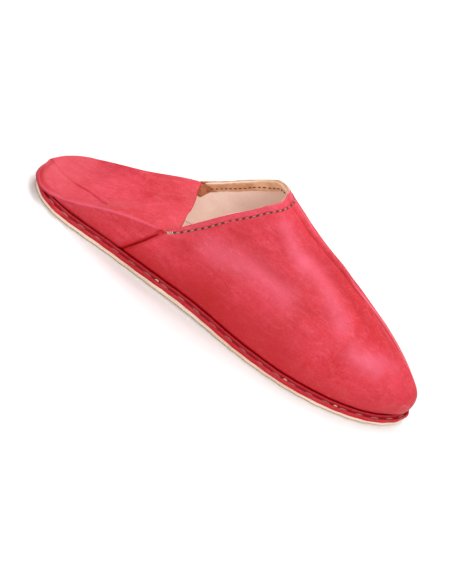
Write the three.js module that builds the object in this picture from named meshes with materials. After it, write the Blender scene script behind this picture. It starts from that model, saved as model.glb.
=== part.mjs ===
// Leather babouche slipper, round toe, heel leather folded down, standing empty on its sole
import * as THREE from 'three';

// Driving sizes in millimetres
const SOLE_LENGTH = 265;
const BALL_WIDTH = 94;
const HEEL_WIDTH = 66;
const INSTEP_HEIGHT = 80;
const SIDE_HEIGHT = 35.5;
const HEEL_HEIGHT = 9.2;
const TOE_SPRING = 2;
const ARCH_LIFT = 1.2;
const SOLE_THICKNESS = 4;
const LEATHER_WALL = 2;
const HEEL_WALL = 1.5;
const INSOLE_THICKNESS = 2.4;
const WELT_THICKNESS = 1.3;
const LIP_HEIGHT = 1.1;
const SEAT_GAP = 0.3;
const FACING_WIDTH = 6;
const FACING_THICKNESS = 0.9;

// How far pieces stand in from the edge of the sole
const WELT_INSET = 0.3;
const LIP_INSET = 2.4;
const LIP_WIDTH = 1.3;
const FOOT_INSET = LIP_INSET + LIP_WIDTH + SEAT_GAP + 0.2;
const GIRTH_INSET = 2.8;
const WELT_INNER = 9;
const INSOLE_INSET = FOOT_INSET + LEATHER_WALL + SEAT_GAP + 0.1;

// Heights of the layers above the underside of the sole
const WELT_BASE = SOLE_THICKNESS + SEAT_GAP;
const WELT_TOP = WELT_BASE + WELT_THICKNESS;
const LIP_TOP = WELT_TOP + LIP_HEIGHT;
const FOOT_BASE = WELT_TOP + SEAT_GAP;
const INSOLE_TOP = WELT_BASE + INSOLE_THICKNESS;
const GIRTH_HEIGHT = FOOT_BASE + 3;
const TUCK_HEIGHT = LIP_TOP + SEAT_GAP;

// Shape of the folded heel
const FOLD_RADIUS = 1.9;
const FLAP_REACH = 4;
const FLAP_POLE = 0.055;
const DROOP_START = 1.7;
const DROOP_REACH = 5;

// Shape of the toe
const FAN_START = 0.71;
const TOE_POLE = 0.905;
const CREASE_RISE = 0.8;

// Half outline of the sole, heel to toe, as shares of half the heel and half the ball width,
// and how far its middle line stands aside, as a share of half the heel width
const OUTLINE = [
  { along: 0, heel: 0, ball: 0, aside: -0.07 },
  { along: 0.0245, heel: 0.636, ball: 0, aside: -0.07 },
  { along: 0.0955, heel: 0.945, ball: 0, aside: -0.066 },
  { along: 0.2061, heel: 1.01, ball: 0, aside: -0.045 },
  { along: 0.3455, heel: 0.57, ball: 0.398, aside: 0.004 },
  { along: 0.5, heel: 0.2, ball: 0.77, aside: 0.025 },
  { along: 0.6545, heel: 0, ball: 0.991, aside: 0.018 },
  { along: 0.7939, heel: 0, ball: 0.883, aside: 0 },
  { along: 0.9045, heel: 0, ball: 0.645, aside: -0.008 },
  { along: 0.9755, heel: 0, ball: 0.326, aside: -0.012 },
  { along: 1, heel: 0, ball: 0, aside: -0.013 },
];

// Height of the ridge along the middle of the vamp, as a share of the instep height
const RIDGE = [
  { along: 0.2, up: 1.44 },
  { along: 0.47, up: 1 },
  { along: 0.568, up: 0.84 },
  { along: 0.666, up: 0.73 },
  { along: 0.764, up: 0.612 },
  { along: 0.862, up: 0.482 },
  { along: 0.96, up: 0.34 },
  { along: 1, up: 0.28 },
];

// Back edge of the vamp: up the side seam, then along the collar to the throat
const BACK_EDGE = [
  { turn: 0, along: 0.253, across: 1, up: 0 },
  { turn: 14, along: 0.282, across: 1, up: 0.5 },
  { turn: 28, along: 0.306, across: 0.975, up: 1 },
];
const COLLAR = [
  { turn: 28, along: 0.306, across: 0.975, up: 0 },
  { turn: 40, along: 0.356, across: 0.77, up: 0.31 },
  { turn: 51, along: 0.396, across: 0.63, up: 0.58 },
  { turn: 61, along: 0.429, across: 0.53, up: 0.78 },
  { turn: 70, along: 0.45, across: 0.42, up: 0.905 },
  { turn: 80, along: 0.4705, across: 0.22, up: 0.97 },
  { turn: 90, along: 0.473, across: 0, up: 1 },
];
const SEAM_TURN = 28;

// Roundness of the vamp's cross sections, 2 is an ellipse and more is boxier
const ROUNDNESS = [
  { along: 0.2, power: 1.85 },
  { along: 0.47, power: 1.8 },
  { along: 0.6, power: 1.72 },
  { along: 0.75, power: 1.85 },
  { along: 0.9, power: 2.3 },
  { along: 1, power: 2.8 },
];

// Height of the fold round the heel and of the flap's middle, as shares of the rise to the seam top,
// and in millimetres how far the wall leans in at the fold and how far the rim droops past the sole
const FOLD = [
  { along: 0, edge: 0, middle: 0, lean: -2.8, droop: 3.6 },
  { along: 0.011, edge: 0, middle: 0, lean: -2.8, droop: 3.6 },
  { along: 0.03, edge: 0, middle: 0, lean: -2.1, droop: 3.3 },
  { along: 0.055, edge: 0.01, middle: 0, lean: -1.4, droop: 2.2 },
  { along: 0.08, edge: 0.03, middle: 0.015, lean: -0.4, droop: 0.8 },
  { along: 0.12, edge: 0.15, middle: 0.13, lean: 0.9, droop: 0 },
  { along: 0.2, edge: 0.54, middle: 0.5, lean: 2.2, droop: 0 },
  { along: 0.306, edge: 1, middle: 0.96, lean: 0, droop: 0 },
  { along: 0.36, edge: 1.12, middle: 1.08, lean: 0, droop: 0 },
];

// Rows of the sheets, from the foot edge upward
const VAMP_TURNS = [0, 7, 14, 21, 28, 34, 40, 46, 52, 58, 64, 70, 76, 81, 86, 90];
const WALL_SHARES = [0, 0.33, 0.66, 1];
const FLAP_SHARES = [0.1, 0.26, 0.48, 0.74, 1];

// Steps along the sheets
const OUTLINE_STEPS = 38;
const SIDE_STEPS = 14;
const TOE_STEPS = 13;
const HEEL_STEPS = 20;

// The curve of least bending through one column of a table
function smoothCurve(rows, at, of) {
  const x = rows.map((row) => row[at]);
  const y = rows.map((row) => row[of]);
  const last = x.length - 1;
  const bend = new Array(last + 1).fill(0);
  const carry = new Array(last + 1).fill(0);
  for (let i = 1; i < last; i += 1) {
    const before = x[i] - x[i - 1];
    const after = x[i + 1] - x[i];
    const pull = 6 * ((y[i + 1] - y[i]) / after - (y[i] - y[i - 1]) / before);
    const weight = 2 * (before + after) - before * carry[i - 1];
    carry[i] = after / weight;
    bend[i] = (pull - before * bend[i - 1]) / weight;
  }
  for (let i = last - 1; i > 0; i -= 1) {
    bend[i] -= carry[i] * bend[i + 1];
  }
  return (value) => {
    let i = 0;
    while (i < last - 1 && value > x[i + 1]) {
      i += 1;
    }
    const gap = x[i + 1] - x[i];
    const a = (x[i + 1] - value) / gap;
    const b = (value - x[i]) / gap;
    const curve = ((a ** 3 - a) * bend[i] + (b ** 3 - b) * bend[i + 1]) * gap * gap / 6;
    return a * y[i] + b * y[i + 1] + curve;
  };
}

// A curve through one column of a table that never swings past its rows
function steadyCurve(rows, at, of) {
  const x = rows.map((row) => row[at]);
  const y = rows.map((row) => row[of]);
  const last = x.length - 1;
  const rate = x.slice(1).map((value, i) => (y[i + 1] - y[i]) / (value - x[i]));
  const slope = x.map((value, i) => {
    if (i === 0) {
      return rate[0];
    }
    if (i === last) {
      return rate[last - 1];
    }
    if (rate[i - 1] * rate[i] <= 0) {
      return 0;
    }
    return 2 * rate[i - 1] * rate[i] / (rate[i - 1] + rate[i]);
  });
  return (value) => {
    let i = 0;
    while (i < last - 1 && value > x[i + 1]) {
      i += 1;
    }
    const gap = x[i + 1] - x[i];
    const t = Math.min(Math.max((value - x[i]) / gap, 0), 1);
    const stay = (1 + 2 * t) * (1 - t) ** 2 * y[i] + t * t * (3 - 2 * t) * y[i + 1];
    return stay + gap * (t * (1 - t) ** 2 * slope[i] - t * t * (1 - t) * slope[i + 1]);
  };
}

function mix(a, b, share) {
  return a + (b - a) * share;
}

function ease(share) {
  const t = Math.min(Math.max(share, 0), 1);
  return t * t * (3 - 2 * t);
}

// Half width of the sole at a turn that runs from 0 at the heel to pi at the toe
const outlineRows = OUTLINE.map((row) => ({
  turn: Math.acos(1 - 2 * row.along),
  half: (row.heel * HEEL_WIDTH + row.ball * BALL_WIDTH) / 2,
}));
const halfWidth = smoothCurve(outlineRows, 'turn', 'half');
const asideShare = smoothCurve(OUTLINE, 'along', 'aside');

function rimX(turn) {
  return SOLE_LENGTH * (1 - Math.cos(turn)) / 2;
}

// How far the whole outline stands off the middle, so that the slipper can be centred
function middleOfOutline() {
  let near = 0;
  let far = 0;
  for (let turn = 0; turn < Math.PI; turn += 0.005) {
    const aside = asideShare(rimX(turn) / SOLE_LENGTH) * HEEL_WIDTH / 2;
    near = Math.min(near, aside - halfWidth(turn));
    far = Math.max(far, aside + halfWidth(turn));
  }
  return (near + far) / 2;
}

// Sideways place of the middle line at a length along the sole
const SIDE_CENTRE = middleOfOutline();
function middleLine(x) {
  return asideShare(x / SOLE_LENGTH) * HEEL_WIDTH / 2 - SIDE_CENTRE;
}

// A point on the far side of the outline, moved inward square to the edge
function outlinePoint(turn, inset) {
  const step = 0.001;
  const dx = rimX(turn + step) - rimX(turn - step);
  const dy = halfWidth(turn + step) - halfWidth(turn - step);
  const size = Math.hypot(dx, dy);
  const x = rimX(turn) + inset * dy / size;
  const y = halfWidth(turn) - inset * dx / size;
  return { x, y };
}

// The turn at which the inset outline reaches a given length
function turnFor(x, inset) {
  let low = 0;
  let high = Math.PI;
  for (let i = 0; i < 40; i += 1) {
    const middle = (low + high) / 2;
    if (outlinePoint(middle, inset).x < x) {
      low = middle;
    } else {
      high = middle;
    }
  }
  return (low + high) / 2;
}

// Lift of the underside: flat heel, low arch, flat forefoot, toe spring
function rise(x) {
  const along = x / SOLE_LENGTH;
  const arch = Math.min(Math.max((along - 0.27) / 0.31, 0), 1);
  const toe = Math.max((along - 0.78) / 0.22, 0);
  return ARCH_LIFT * Math.sin(Math.PI * arch) ** 2 + TOE_SPRING * toe * toe;
}

const ridgeShare = smoothCurve(RIDGE, 'along', 'up');
const roundness = steadyCurve(ROUNDNESS, 'along', 'power');
const foldShare = steadyCurve(FOLD, 'along', 'edge');
const middleShare = steadyCurve(FOLD, 'along', 'middle');
const foldLean = steadyCurve(FOLD, 'along', 'lean');
const foldDroop = steadyCurve(FOLD, 'along', 'droop');

function ridgeHeight(x) {
  return INSTEP_HEIGHT * ridgeShare(x / SOLE_LENGTH);
}

function foldHeight(x) {
  return mix(HEEL_HEIGHT, SIDE_HEIGHT, foldShare(x / SOLE_LENGTH));
}

function middleHeight(x) {
  return mix(HEEL_HEIGHT, SIDE_HEIGHT, middleShare(x / SOLE_LENGTH));
}

// Back edge of the vamp at a turn from 0 at the girth to 90 degrees at the throat
const seamAlong = smoothCurve(BACK_EDGE, 'turn', 'along');
const seamAcross = smoothCurve(BACK_EDGE, 'turn', 'across');
const seamUp = smoothCurve(BACK_EDGE, 'turn', 'up');
const collarAlong = smoothCurve(COLLAR, 'turn', 'along');
const collarAcross = steadyCurve(COLLAR, 'turn', 'across');
const collarUp = steadyCurve(COLLAR, 'turn', 'up');

function backEdge(turn) {
  if (turn <= SEAM_TURN) {
    return {
      x: SOLE_LENGTH * seamAlong(turn),
      across: seamAcross(turn),
      z: mix(GIRTH_HEIGHT, SIDE_HEIGHT, seamUp(turn)),
    };
  }
  return {
    x: SOLE_LENGTH * collarAlong(turn),
    across: collarAcross(turn),
    z: mix(SIDE_HEIGHT, INSTEP_HEIGHT, collarUp(turn)),
  };
}

const SEAM_FOOT_X = backEdge(0).x;
const THROAT_X = backEdge(90).x;
const FAN_X = FAN_START * SOLE_LENGTH;

// A point on the near side of the vamp's outside; share runs from the back edge to the fan
function vampSide(share, turn) {
  const edge = backEdge(turn);
  const lean = (edge.x - SEAM_FOOT_X) / (THROAT_X - SEAM_FOOT_X);
  const footX = mix(SEAM_FOOT_X, FAN_X, share);
  const crestX = mix(THROAT_X, FAN_X, share);
  const x = mix(footX, crestX, lean);
  const half = outlinePoint(turnFor(x, GIRTH_INSET), GIRTH_INSET).y;
  const angle = turn * Math.PI / 180;
  const power = 2 / roundness(x / SOLE_LENGTH);
  const across = mix(edge.across, Math.max(Math.cos(angle), 0) ** power, ease(share * 1.6));
  const base = GIRTH_HEIGHT + rise(x);
  const open = (edge.z - GIRTH_HEIGHT) / (ridgeHeight(edge.x) - GIRTH_HEIGHT);
  const up = mix(open, Math.sin(angle) ** power, ease(share * 1.6));
  return new THREE.Vector3(x, -half * across, mix(base, ridgeHeight(x), up));
}

// A point on the near side of the toe, where the columns fan out from the ridge
function vampToe(share, turn) {
  const start = turnFor(FAN_X, GIRTH_INSET);
  const foot = outlinePoint(mix(start, Math.PI, share), GIRTH_INSET);
  const crestX = mix(FAN_X, TOE_POLE * SOLE_LENGTH, share);
  const angle = turn * Math.PI / 180;
  const power = 2 / roundness(foot.x / SOLE_LENGTH);
  const across = Math.max(Math.cos(angle), 0) ** power;
  const x = mix(crestX, foot.x, across);
  const base = GIRTH_HEIGHT + rise(x);
  const up = Math.sin(angle) ** power;
  return new THREE.Vector3(x, -foot.y * across, mix(base, ridgeHeight(x), up));
}

// Tuck the leather in below the girth to a foot beside the lip of the welt
function tuckRows(x, y, outline) {
  const foot = outlinePoint(outline, FOOT_INSET);
  const middle = outlinePoint(outline, mix(FOOT_INSET, GIRTH_INSET, 0.25));
  const girth = outlinePoint(outline, GIRTH_INSET);
  return [
    new THREE.Vector3(x + foot.x - girth.x, y + girth.y - foot.y, FOOT_BASE),
    new THREE.Vector3(x + middle.x - girth.x, y + girth.y - middle.y, TUCK_HEIGHT),
  ].map((point) => point.setZ(point.z + rise(point.x)));
}

function vampSheet() {
  const sheet = [];
  for (let k = 0; k <= SIDE_STEPS + TOE_STEPS; k += 1) {
    const inFan = k > SIDE_STEPS;
    const share = inFan ? (k - SIDE_STEPS) / TOE_STEPS : k / SIDE_STEPS;
    const column = VAMP_TURNS.map((turn) => (inFan ? vampToe(share, turn) : vampSide(share, turn)));
    const outline = inFan
      ? mix(turnFor(FAN_X, GIRTH_INSET), Math.PI, share)
      : turnFor(column[0].x, GIRTH_INSET);
    const crest = column[column.length - 1];
    crest.y = 0;
    crest.z += CREASE_RISE * ease((1 - share) * (inFan ? 1.4 : 9));
    sheet.push([...tuckRows(column[0].x, column[0].y, outline), ...column]);
  }
  sheet[sheet.length - 1].forEach((point) => point.setY(0));
  return sheet;
}

// Height of the flap between the fold (share 0) and its middle line (share 1)
function flapHeight(x, share) {
  return mix(foldHeight(x), middleHeight(x), share);
}

// One column of the heel piece: wall, fold, then flap to the middle line
function heelColumn(share) {
  const behind = SEAT_GAP * 1.25;
  const footX = SEAM_FOOT_X - behind;
  const outline = mix(turnFor(footX, GIRTH_INSET), 0, share);
  const seamX = backEdge(SEAM_TURN).x - behind;
  const leanNow = (seamX - footX) * (1 - ease(share * 1.6));
  const base = outlinePoint(outline, GIRTH_INSET).x;
  const foldTop = foldHeight(base + leanNow);
  const wallTop = foldTop - FOLD_RADIUS;
  const leanIn = foldLean((base + leanNow) / SOLE_LENGTH);
  const droop = foldDroop((base + leanNow) / SOLE_LENGTH);
  const sag = (inset) => droop * Math.min(Math.max((DROOP_START - inset) / DROOP_REACH, 0), 1) ** 2;
  const column = [wallPoint(share, outline, FOOT_INSET, 0, FOOT_BASE)];
  const girth = Math.min(GIRTH_HEIGHT, mix(TUCK_HEIGHT, wallTop, 0.5));
  [TUCK_HEIGHT, ...WALL_SHARES.map((part) => mix(girth, wallTop, part))].forEach((height) => {
    const tuck = height > TUCK_HEIGHT ? 1 : 0.1;
    const part = (height - TUCK_HEIGHT) / (wallTop - TUCK_HEIGHT);
    const inset = mix(FOOT_INSET, GIRTH_INSET, tuck) + leanIn * part;
    const climb = Math.max(height - GIRTH_HEIGHT, 0) / (SIDE_HEIGHT - GIRTH_HEIGHT);
    column.push(wallPoint(share, outline, inset, climb * leanNow, height - sag(inset)));
  });
  const insetTop = GIRTH_INSET + leanIn;
  [1, 2, 3].forEach((step) => {
    const angle = (step / 3) * (Math.PI / 2 - 0.11 * droop);
    const height = wallTop + FOLD_RADIUS * Math.sin(angle);
    const inset = insetTop + FOLD_RADIUS * (1 - Math.cos(angle));
    const climb = Math.max(wallTop - GIRTH_HEIGHT, 0) / (SIDE_HEIGHT - GIRTH_HEIGHT);
    column.push(wallPoint(share, outline, inset, climb * leanNow, height - sag(inset)));
  });
  const top = column[column.length - 1];
  const middleX = mix(backEdge(SEAM_TURN).x + FLAP_REACH, FLAP_POLE * SOLE_LENGTH, ease(share));
  FLAP_SHARES.forEach((part) => {
    const x = mix(top.x, middleX, 1 - (1 - part) ** mix(3.5, 2, ease(share * 2)));
    const y = mix(top.y, 0, part);
    const topInset = insetTop + FOLD_RADIUS;
    const settle = top.z - flapHeight(top.x, 0) + sag(topInset);
    const inset = topInset + Math.hypot(x - top.x, y - top.y);
    column.push(new THREE.Vector3(x, y, flapHeight(x, part) + settle * (1 - part) - sag(inset)));
  });
  column[column.length - 1].y = 0;
  return column;
}

// A point of the heel wall: near the seam it moves forward with height, round the heel it fans out
function wallPoint(share, outline, inset, lean, height) {
  const at = outlinePoint(outline, inset);
  const girth = outlinePoint(outline, GIRTH_INSET);
  const shifted = outlinePoint(turnFor(girth.x + lean, GIRTH_INSET), GIRTH_INSET);
  const x = mix(girth.x, at.x, ease(share * 4)) + lean;
  const y = lean > 0 ? at.y + shifted.y - girth.y : at.y;
  return new THREE.Vector3(x, -y, height + rise(x));
}

function heelSheet() {
  const sheet = [];
  for (let k = 0; k <= HEEL_STEPS; k += 1) {
    sheet.push(heelColumn(k / HEEL_STEPS));
  }
  sheet[sheet.length - 1].forEach((point) => point.setY(0));
  return sheet;
}

// Outward directions of a near-side sheet whose last row lies on the middle plane
function sheetNormals(sheet, closed, side) {
  const lastColumn = sheet.length - 1;
  return sheet.map((column, k) => column.map((point, r) => {
    const lastRow = column.length - 1;
    const along = new THREE.Vector3(0, 1, 0);
    if (k < lastColumn || !closed) {
      along.subVectors(sheet[Math.min(k + 1, lastColumn)][r], sheet[Math.max(k - 1, 0)][r]);
    }
    const over = new THREE.Vector3();
    if (r === lastRow && k < lastColumn) {
      over.set(0, 1, 0);
      along.y = 0;
    } else {
      over.subVectors(column[Math.min(r + 1, lastRow)], column[Math.max(r - 1, 0)]);
    }
    const normal = new THREE.Vector3().crossVectors(along, over).multiplyScalar(side);
    if (r === lastRow || (closed && k === lastColumn)) {
      normal.y = 0;
    }
    return normal.normalize();
  }));
}

// Move a sheet against its outward directions; the foot stays level and the seam rows stay square
function offsetSheet(sheet, depth, closed, side, seamRows) {
  const normals = sheetNormals(sheet, closed, side);
  return sheet.map((column, k) => column.map((point, r) => {
    const normal = normals[k][r].clone();
    if (seamRows > 0 && r === 0) {
      normal.setZ(0);
    }
    if (k === 0 && r < seamRows) {
      normal.setX(0);
    }
    return point.clone().addScaledVector(normal.normalize(), -depth);
  }));
}

// Collects triangles and welds corners that share a place
class Body {
  constructor() {
    this.places = new Map();
    this.positions = [];
    this.faces = [];
  }

  corner(point) {
    const key = [point.x, point.y, point.z].map((value) => Math.round(value * 2000)).join(' ');
    if (!this.places.has(key)) {
      this.places.set(key, this.positions.length / 3);
      this.positions.push(point.x - SOLE_LENGTH / 2, point.y + middleLine(point.x), point.z);
    }
    return this.places.get(key);
  }

  triangle(a, b, c) {
    const face = [this.corner(a), this.corner(b), this.corner(c)];
    if (new Set(face).size === 3) {
      this.faces.push(face);
    }
  }

  quad(a, b, c, d) {
    this.triangle(a, b, c);
    this.triangle(a, c, d);
  }

  // The finished geometry with its faces turned outward
  geometry() {
    const p = this.positions;
    let volume = 0;
    this.faces.forEach(([a, b, c]) => {
      const crossX = p[b * 3 + 1] * p[c * 3 + 2] - p[b * 3 + 2] * p[c * 3 + 1];
      const crossY = p[b * 3 + 2] * p[c * 3] - p[b * 3] * p[c * 3 + 2];
      const crossZ = p[b * 3] * p[c * 3 + 1] - p[b * 3 + 1] * p[c * 3];
      volume += p[a * 3] * crossX + p[a * 3 + 1] * crossY + p[a * 3 + 2] * crossZ;
    });
    const order = volume < 0 ? [0, 2, 1] : [0, 1, 2];
    const index = this.faces.flatMap((face) => order.map((i) => face[i]));
    const geometry = new THREE.BufferGeometry();
    geometry.setAttribute('position', new THREE.Float32BufferAttribute(p, 3));
    geometry.setIndex(index);
    geometry.computeVertexNormals();
    return geometry;
  }
}

function mirror(point) {
  return new THREE.Vector3(point.x, -point.y, point.z);
}

// Join an outside and an inside sheet and their mirror images into one closed body
function sheetBody(outer, inner, closed) {
  const body = new Body();
  const quadPair = (a, b, c, d) => {
    body.quad(a, b, c, d);
    body.quad(mirror(d), mirror(c), mirror(b), mirror(a));
  };
  const lastColumn = outer.length - 1;
  const lastRow = outer[0].length - 1;
  for (let k = 0; k < lastColumn; k += 1) {
    for (let r = 0; r < lastRow; r += 1) {
      quadPair(outer[k][r], outer[k + 1][r], outer[k + 1][r + 1], outer[k][r + 1]);
      quadPair(inner[k][r + 1], inner[k + 1][r + 1], inner[k + 1][r], inner[k][r]);
    }
    quadPair(outer[k + 1][0], outer[k][0], inner[k][0], inner[k + 1][0]);
  }
  for (let r = 0; r < lastRow; r += 1) {
    quadPair(outer[0][r], outer[0][r + 1], inner[0][r + 1], inner[0][r]);
    if (!closed) {
      const end = lastColumn;
      quadPair(outer[end][r + 1], outer[end][r], inner[end][r], inner[end][r + 1]);
    }
  }
  return body.geometry();
}

// One closed ring of points round the outline at an inset and a height over the underside
function ring(inset, height) {
  const points = [];
  for (let j = 0; j < OUTLINE_STEPS * 2; j += 1) {
    const turn = Math.PI * Math.min(j, OUTLINE_STEPS * 2 - j) / OUTLINE_STEPS;
    const side = j > OUTLINE_STEPS ? 1 : -1;
    const at = outlinePoint(turn, inset);
    const onMiddle = j % OUTLINE_STEPS === 0;
    points.push(new THREE.Vector3(at.x, onMiddle ? 0 : side * at.y, height + rise(at.x)));
  }
  return points;
}

function bridge(body, low, high) {
  low.forEach((point, j) => {
    const next = (j + 1) % low.length;
    body.quad(point, low[next], high[next], high[j]);
  });
}

// Close a ring with rungs from the near to the far side
function cap(body, points, upward) {
  const half = points.length / 2;
  for (let j = 0; j < half; j += 1) {
    const near = points[j];
    const nearNext = points[j + 1];
    const far = points[(points.length - j) % points.length];
    const farNext = points[points.length - j - 1];
    if (upward) {
      body.quad(near, nearNext, farNext, far);
    } else {
      body.quad(far, farNext, nearNext, near);
    }
  }
}

// A solid stack of rings with both ends closed
function stackBody(levels) {
  const body = new Body();
  const rings = levels.map((level) => ring(level.inset, level.height));
  for (let i = 0; i + 1 < rings.length; i += 1) {
    bridge(body, rings[i], rings[i + 1]);
  }
  cap(body, rings[0], false);
  cap(body, rings[rings.length - 1], true);
  return body.geometry();
}

// A band of one closed cross section carried round the outline
function bandBody(section) {
  const body = new Body();
  const rings = section.map((level) => ring(level.inset, level.height));
  rings.forEach((points, i) => {
    bridge(body, points, rings[(i + 1) % rings.length]);
  });
  return body.geometry();
}

const OUTSOLE_LEVELS = [
  { inset: 0.8, height: 0 },
  { inset: 0.1, height: 0.7 },
  { inset: 0, height: SOLE_THICKNESS - 0.5 },
  { inset: 0.4, height: SOLE_THICKNESS },
];

const WELT_SECTION = [
  { inset: WELT_INSET, height: WELT_BASE },
  { inset: WELT_INSET, height: WELT_TOP - 0.3 },
  { inset: WELT_INSET + 0.4, height: WELT_TOP },
  { inset: LIP_INSET - 0.5, height: WELT_TOP - 0.2 },
  { inset: LIP_INSET, height: LIP_TOP - 0.3 },
  { inset: LIP_INSET + 0.5, height: LIP_TOP },
  { inset: LIP_INSET + LIP_WIDTH - 0.5, height: LIP_TOP - 0.2 },
  { inset: LIP_INSET + LIP_WIDTH, height: WELT_TOP },
  { inset: WELT_INNER, height: WELT_TOP },
  { inset: WELT_INNER, height: WELT_BASE },
];

const INSOLE_LEVELS = [
  { inset: WELT_INNER + SEAT_GAP, height: WELT_BASE },
  { inset: WELT_INNER + SEAT_GAP, height: FOOT_BASE },
  { inset: INSOLE_INSET, height: FOOT_BASE },
  { inset: INSOLE_INSET, height: INSOLE_TOP - 0.3 },
  { inset: INSOLE_INSET + 0.5, height: INSOLE_TOP },
];

// The facing: a strip inside the collar, laid against the vamp's inside
function facingSheet() {
  const turns = VAMP_TURNS.filter((turn) => turn > SEAM_TURN + 3);
  const reach = FACING_WIDTH / (FAN_X - THROAT_X);
  return [0.06, 0.5, 1].map((part) => {
    const column = turns.map((turn) => {
      const width = mix(0.72, 1, ease((turn - SEAM_TURN) / 50));
      return vampSide(part * reach * width, turn);
    });
    column[column.length - 1].y = 0;
    column[column.length - 1].z += CREASE_RISE;
    return column;
  });
}

function facingBody() {
  const sheet = facingSheet();
  const depth = LEATHER_WALL + 2 * SEAT_GAP;
  const outer = offsetSheet(sheet, depth, false, 1, 0);
  const inner = offsetSheet(sheet, depth + FACING_THICKNESS, false, 1, 0);
  return sheetBody(outer, inner, false);
}

function leather(color, roughness) {
  return new THREE.MeshStandardMaterial({ color, roughness, metalness: 0 });
}

const slipper = new THREE.Group();
slipper.name = 'babouche_slipper';

function addPiece(name, geometry, material) {
  const mesh = new THREE.Mesh(geometry, material);
  mesh.name = name;
  slipper.add(mesh);
}

const vampOuter = vampSheet();
const seamRows = VAMP_TURNS.filter((turn) => turn <= SEAM_TURN).length + 2;
const vampInner = offsetSheet(vampOuter, LEATHER_WALL, true, 1, seamRows);
const heelOuter = heelSheet();
const heelInner = offsetSheet(heelOuter, HEEL_WALL, true, -1, heelOuter[0].length);

addPiece('outsole', stackBody(OUTSOLE_LEVELS), leather('#e6c6a2', 0.8));
addPiece('welt', bandBody(WELT_SECTION), leather('#b01822', 0.6));
addPiece('insole', stackBody(INSOLE_LEVELS), leather('#dcc2a0', 0.85));
addPiece('upper_vamp', sheetBody(vampOuter, vampInner, true), leather('#d63a4a', 0.5));
addPiece('upper_heel', sheetBody(heelOuter, heelInner, true), leather('#d63a4a', 0.5));
addPiece('collar_facing', facingBody(), leather('#cf9f78', 0.75));

export default slipper;
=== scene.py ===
# Leather babouche slipper: red shell with a folded heel, stitched welt, natural leather sole and lining
import math

import bpy
import numpy as np
from mathutils import Matrix, Vector


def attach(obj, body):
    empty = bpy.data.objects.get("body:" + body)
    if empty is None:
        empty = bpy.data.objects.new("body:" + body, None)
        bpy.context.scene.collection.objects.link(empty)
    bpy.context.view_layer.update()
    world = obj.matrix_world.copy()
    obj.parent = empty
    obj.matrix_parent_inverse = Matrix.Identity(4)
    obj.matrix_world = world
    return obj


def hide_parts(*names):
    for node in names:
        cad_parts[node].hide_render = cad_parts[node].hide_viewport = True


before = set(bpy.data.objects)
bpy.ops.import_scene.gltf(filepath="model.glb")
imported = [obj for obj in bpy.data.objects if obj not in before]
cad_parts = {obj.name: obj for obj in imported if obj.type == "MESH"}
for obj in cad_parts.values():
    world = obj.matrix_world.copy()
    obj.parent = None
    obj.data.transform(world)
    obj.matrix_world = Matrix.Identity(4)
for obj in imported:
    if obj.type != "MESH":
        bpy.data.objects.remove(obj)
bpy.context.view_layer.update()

# Driving sizes in millimetres, the same as the solids have
SOLE_LENGTH = 265.0
BALL_WIDTH = 94.0
HEEL_WIDTH = 66.0
INSTEP_HEIGHT = 80.0
SIDE_HEIGHT = 35.5
HEEL_HEIGHT = 9.2
TOE_SPRING = 2.0
ARCH_LIFT = 1.2
SOLE_THICKNESS = 4.0
WELT_THICKNESS = 1.3
LIP_HEIGHT = 1.1
SEAT_GAP = 0.3
INSOLE_THICKNESS = 2.4
LIP_INSET = 2.4
LIP_WIDTH = 1.3
FOOT_INSET = LIP_INSET + LIP_WIDTH + SEAT_GAP + 0.2
GIRTH_INSET = 2.8
WELT_INNER = 9.0
INSOLE_INSET = FOOT_INSET + 2.4
WELT_BASE = SOLE_THICKNESS + SEAT_GAP
WELT_TOP = WELT_BASE + WELT_THICKNESS
LIP_TOP = WELT_TOP + LIP_HEIGHT
FOOT_BASE = WELT_TOP + SEAT_GAP
INSOLE_TOP = WELT_BASE + INSOLE_THICKNESS
GIRTH_HEIGHT = FOOT_BASE + 3
TUCK_HEIGHT = LIP_TOP + SEAT_GAP
FOLD_RADIUS = 1.9
FLAP_REACH = 3.9
FLAP_POLE = 0.055
DROOP_START = 1.7
DROOP_REACH = 5.0
FAN_START = 0.71
TOE_POLE = 0.905
CREASE_RISE = 0.8
CREST_TURN = 84
LAP_UNDER = 2.0
LAP_SINK = 1.3
LAP_REACH = 5.0
LAP_RAISE = 0.35

# Thickness of each layer of leather in millimetres
SHELL = 1.15
LINING = 0.75
FACING = 0.8
HEEL_LEATHER = 1.4
FACING_WIDTH = 4.7
FACING_STITCH_DEPTH = 3.6


# The rows of a table, from its column names and the values of each row
def table(names, *rows):
    return [dict(zip(names.split(), row)) for row in rows]


# Half outline of the sole as shares of half the heel and ball widths, and how far its middle stands aside
OUTLINE = table(
    "along heel ball aside",
    (0, 0, 0, -0.07),
    (0.0245, 0.636, 0, -0.07),
    (0.0955, 0.945, 0, -0.066),
    (0.2061, 1.01, 0, -0.045),
    (0.3455, 0.57, 0.398, 0.004),
    (0.5, 0.2, 0.77, 0.025),
    (0.6545, 0, 0.991, 0.018),
    (0.7939, 0, 0.883, 0),
    (0.9045, 0, 0.645, -0.008),
    (0.9755, 0, 0.326, -0.012),
    (1, 0, 0, -0.013),
)

# Height of the ridge along the middle of the vamp, as a share of the instep height
RIDGE = table(
    "along up",
    (0.2, 1.44),
    (0.47, 1),
    (0.568, 0.84),
    (0.666, 0.73),
    (0.764, 0.612),
    (0.862, 0.482),
    (0.96, 0.34),
    (1, 0.28),
)

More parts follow.
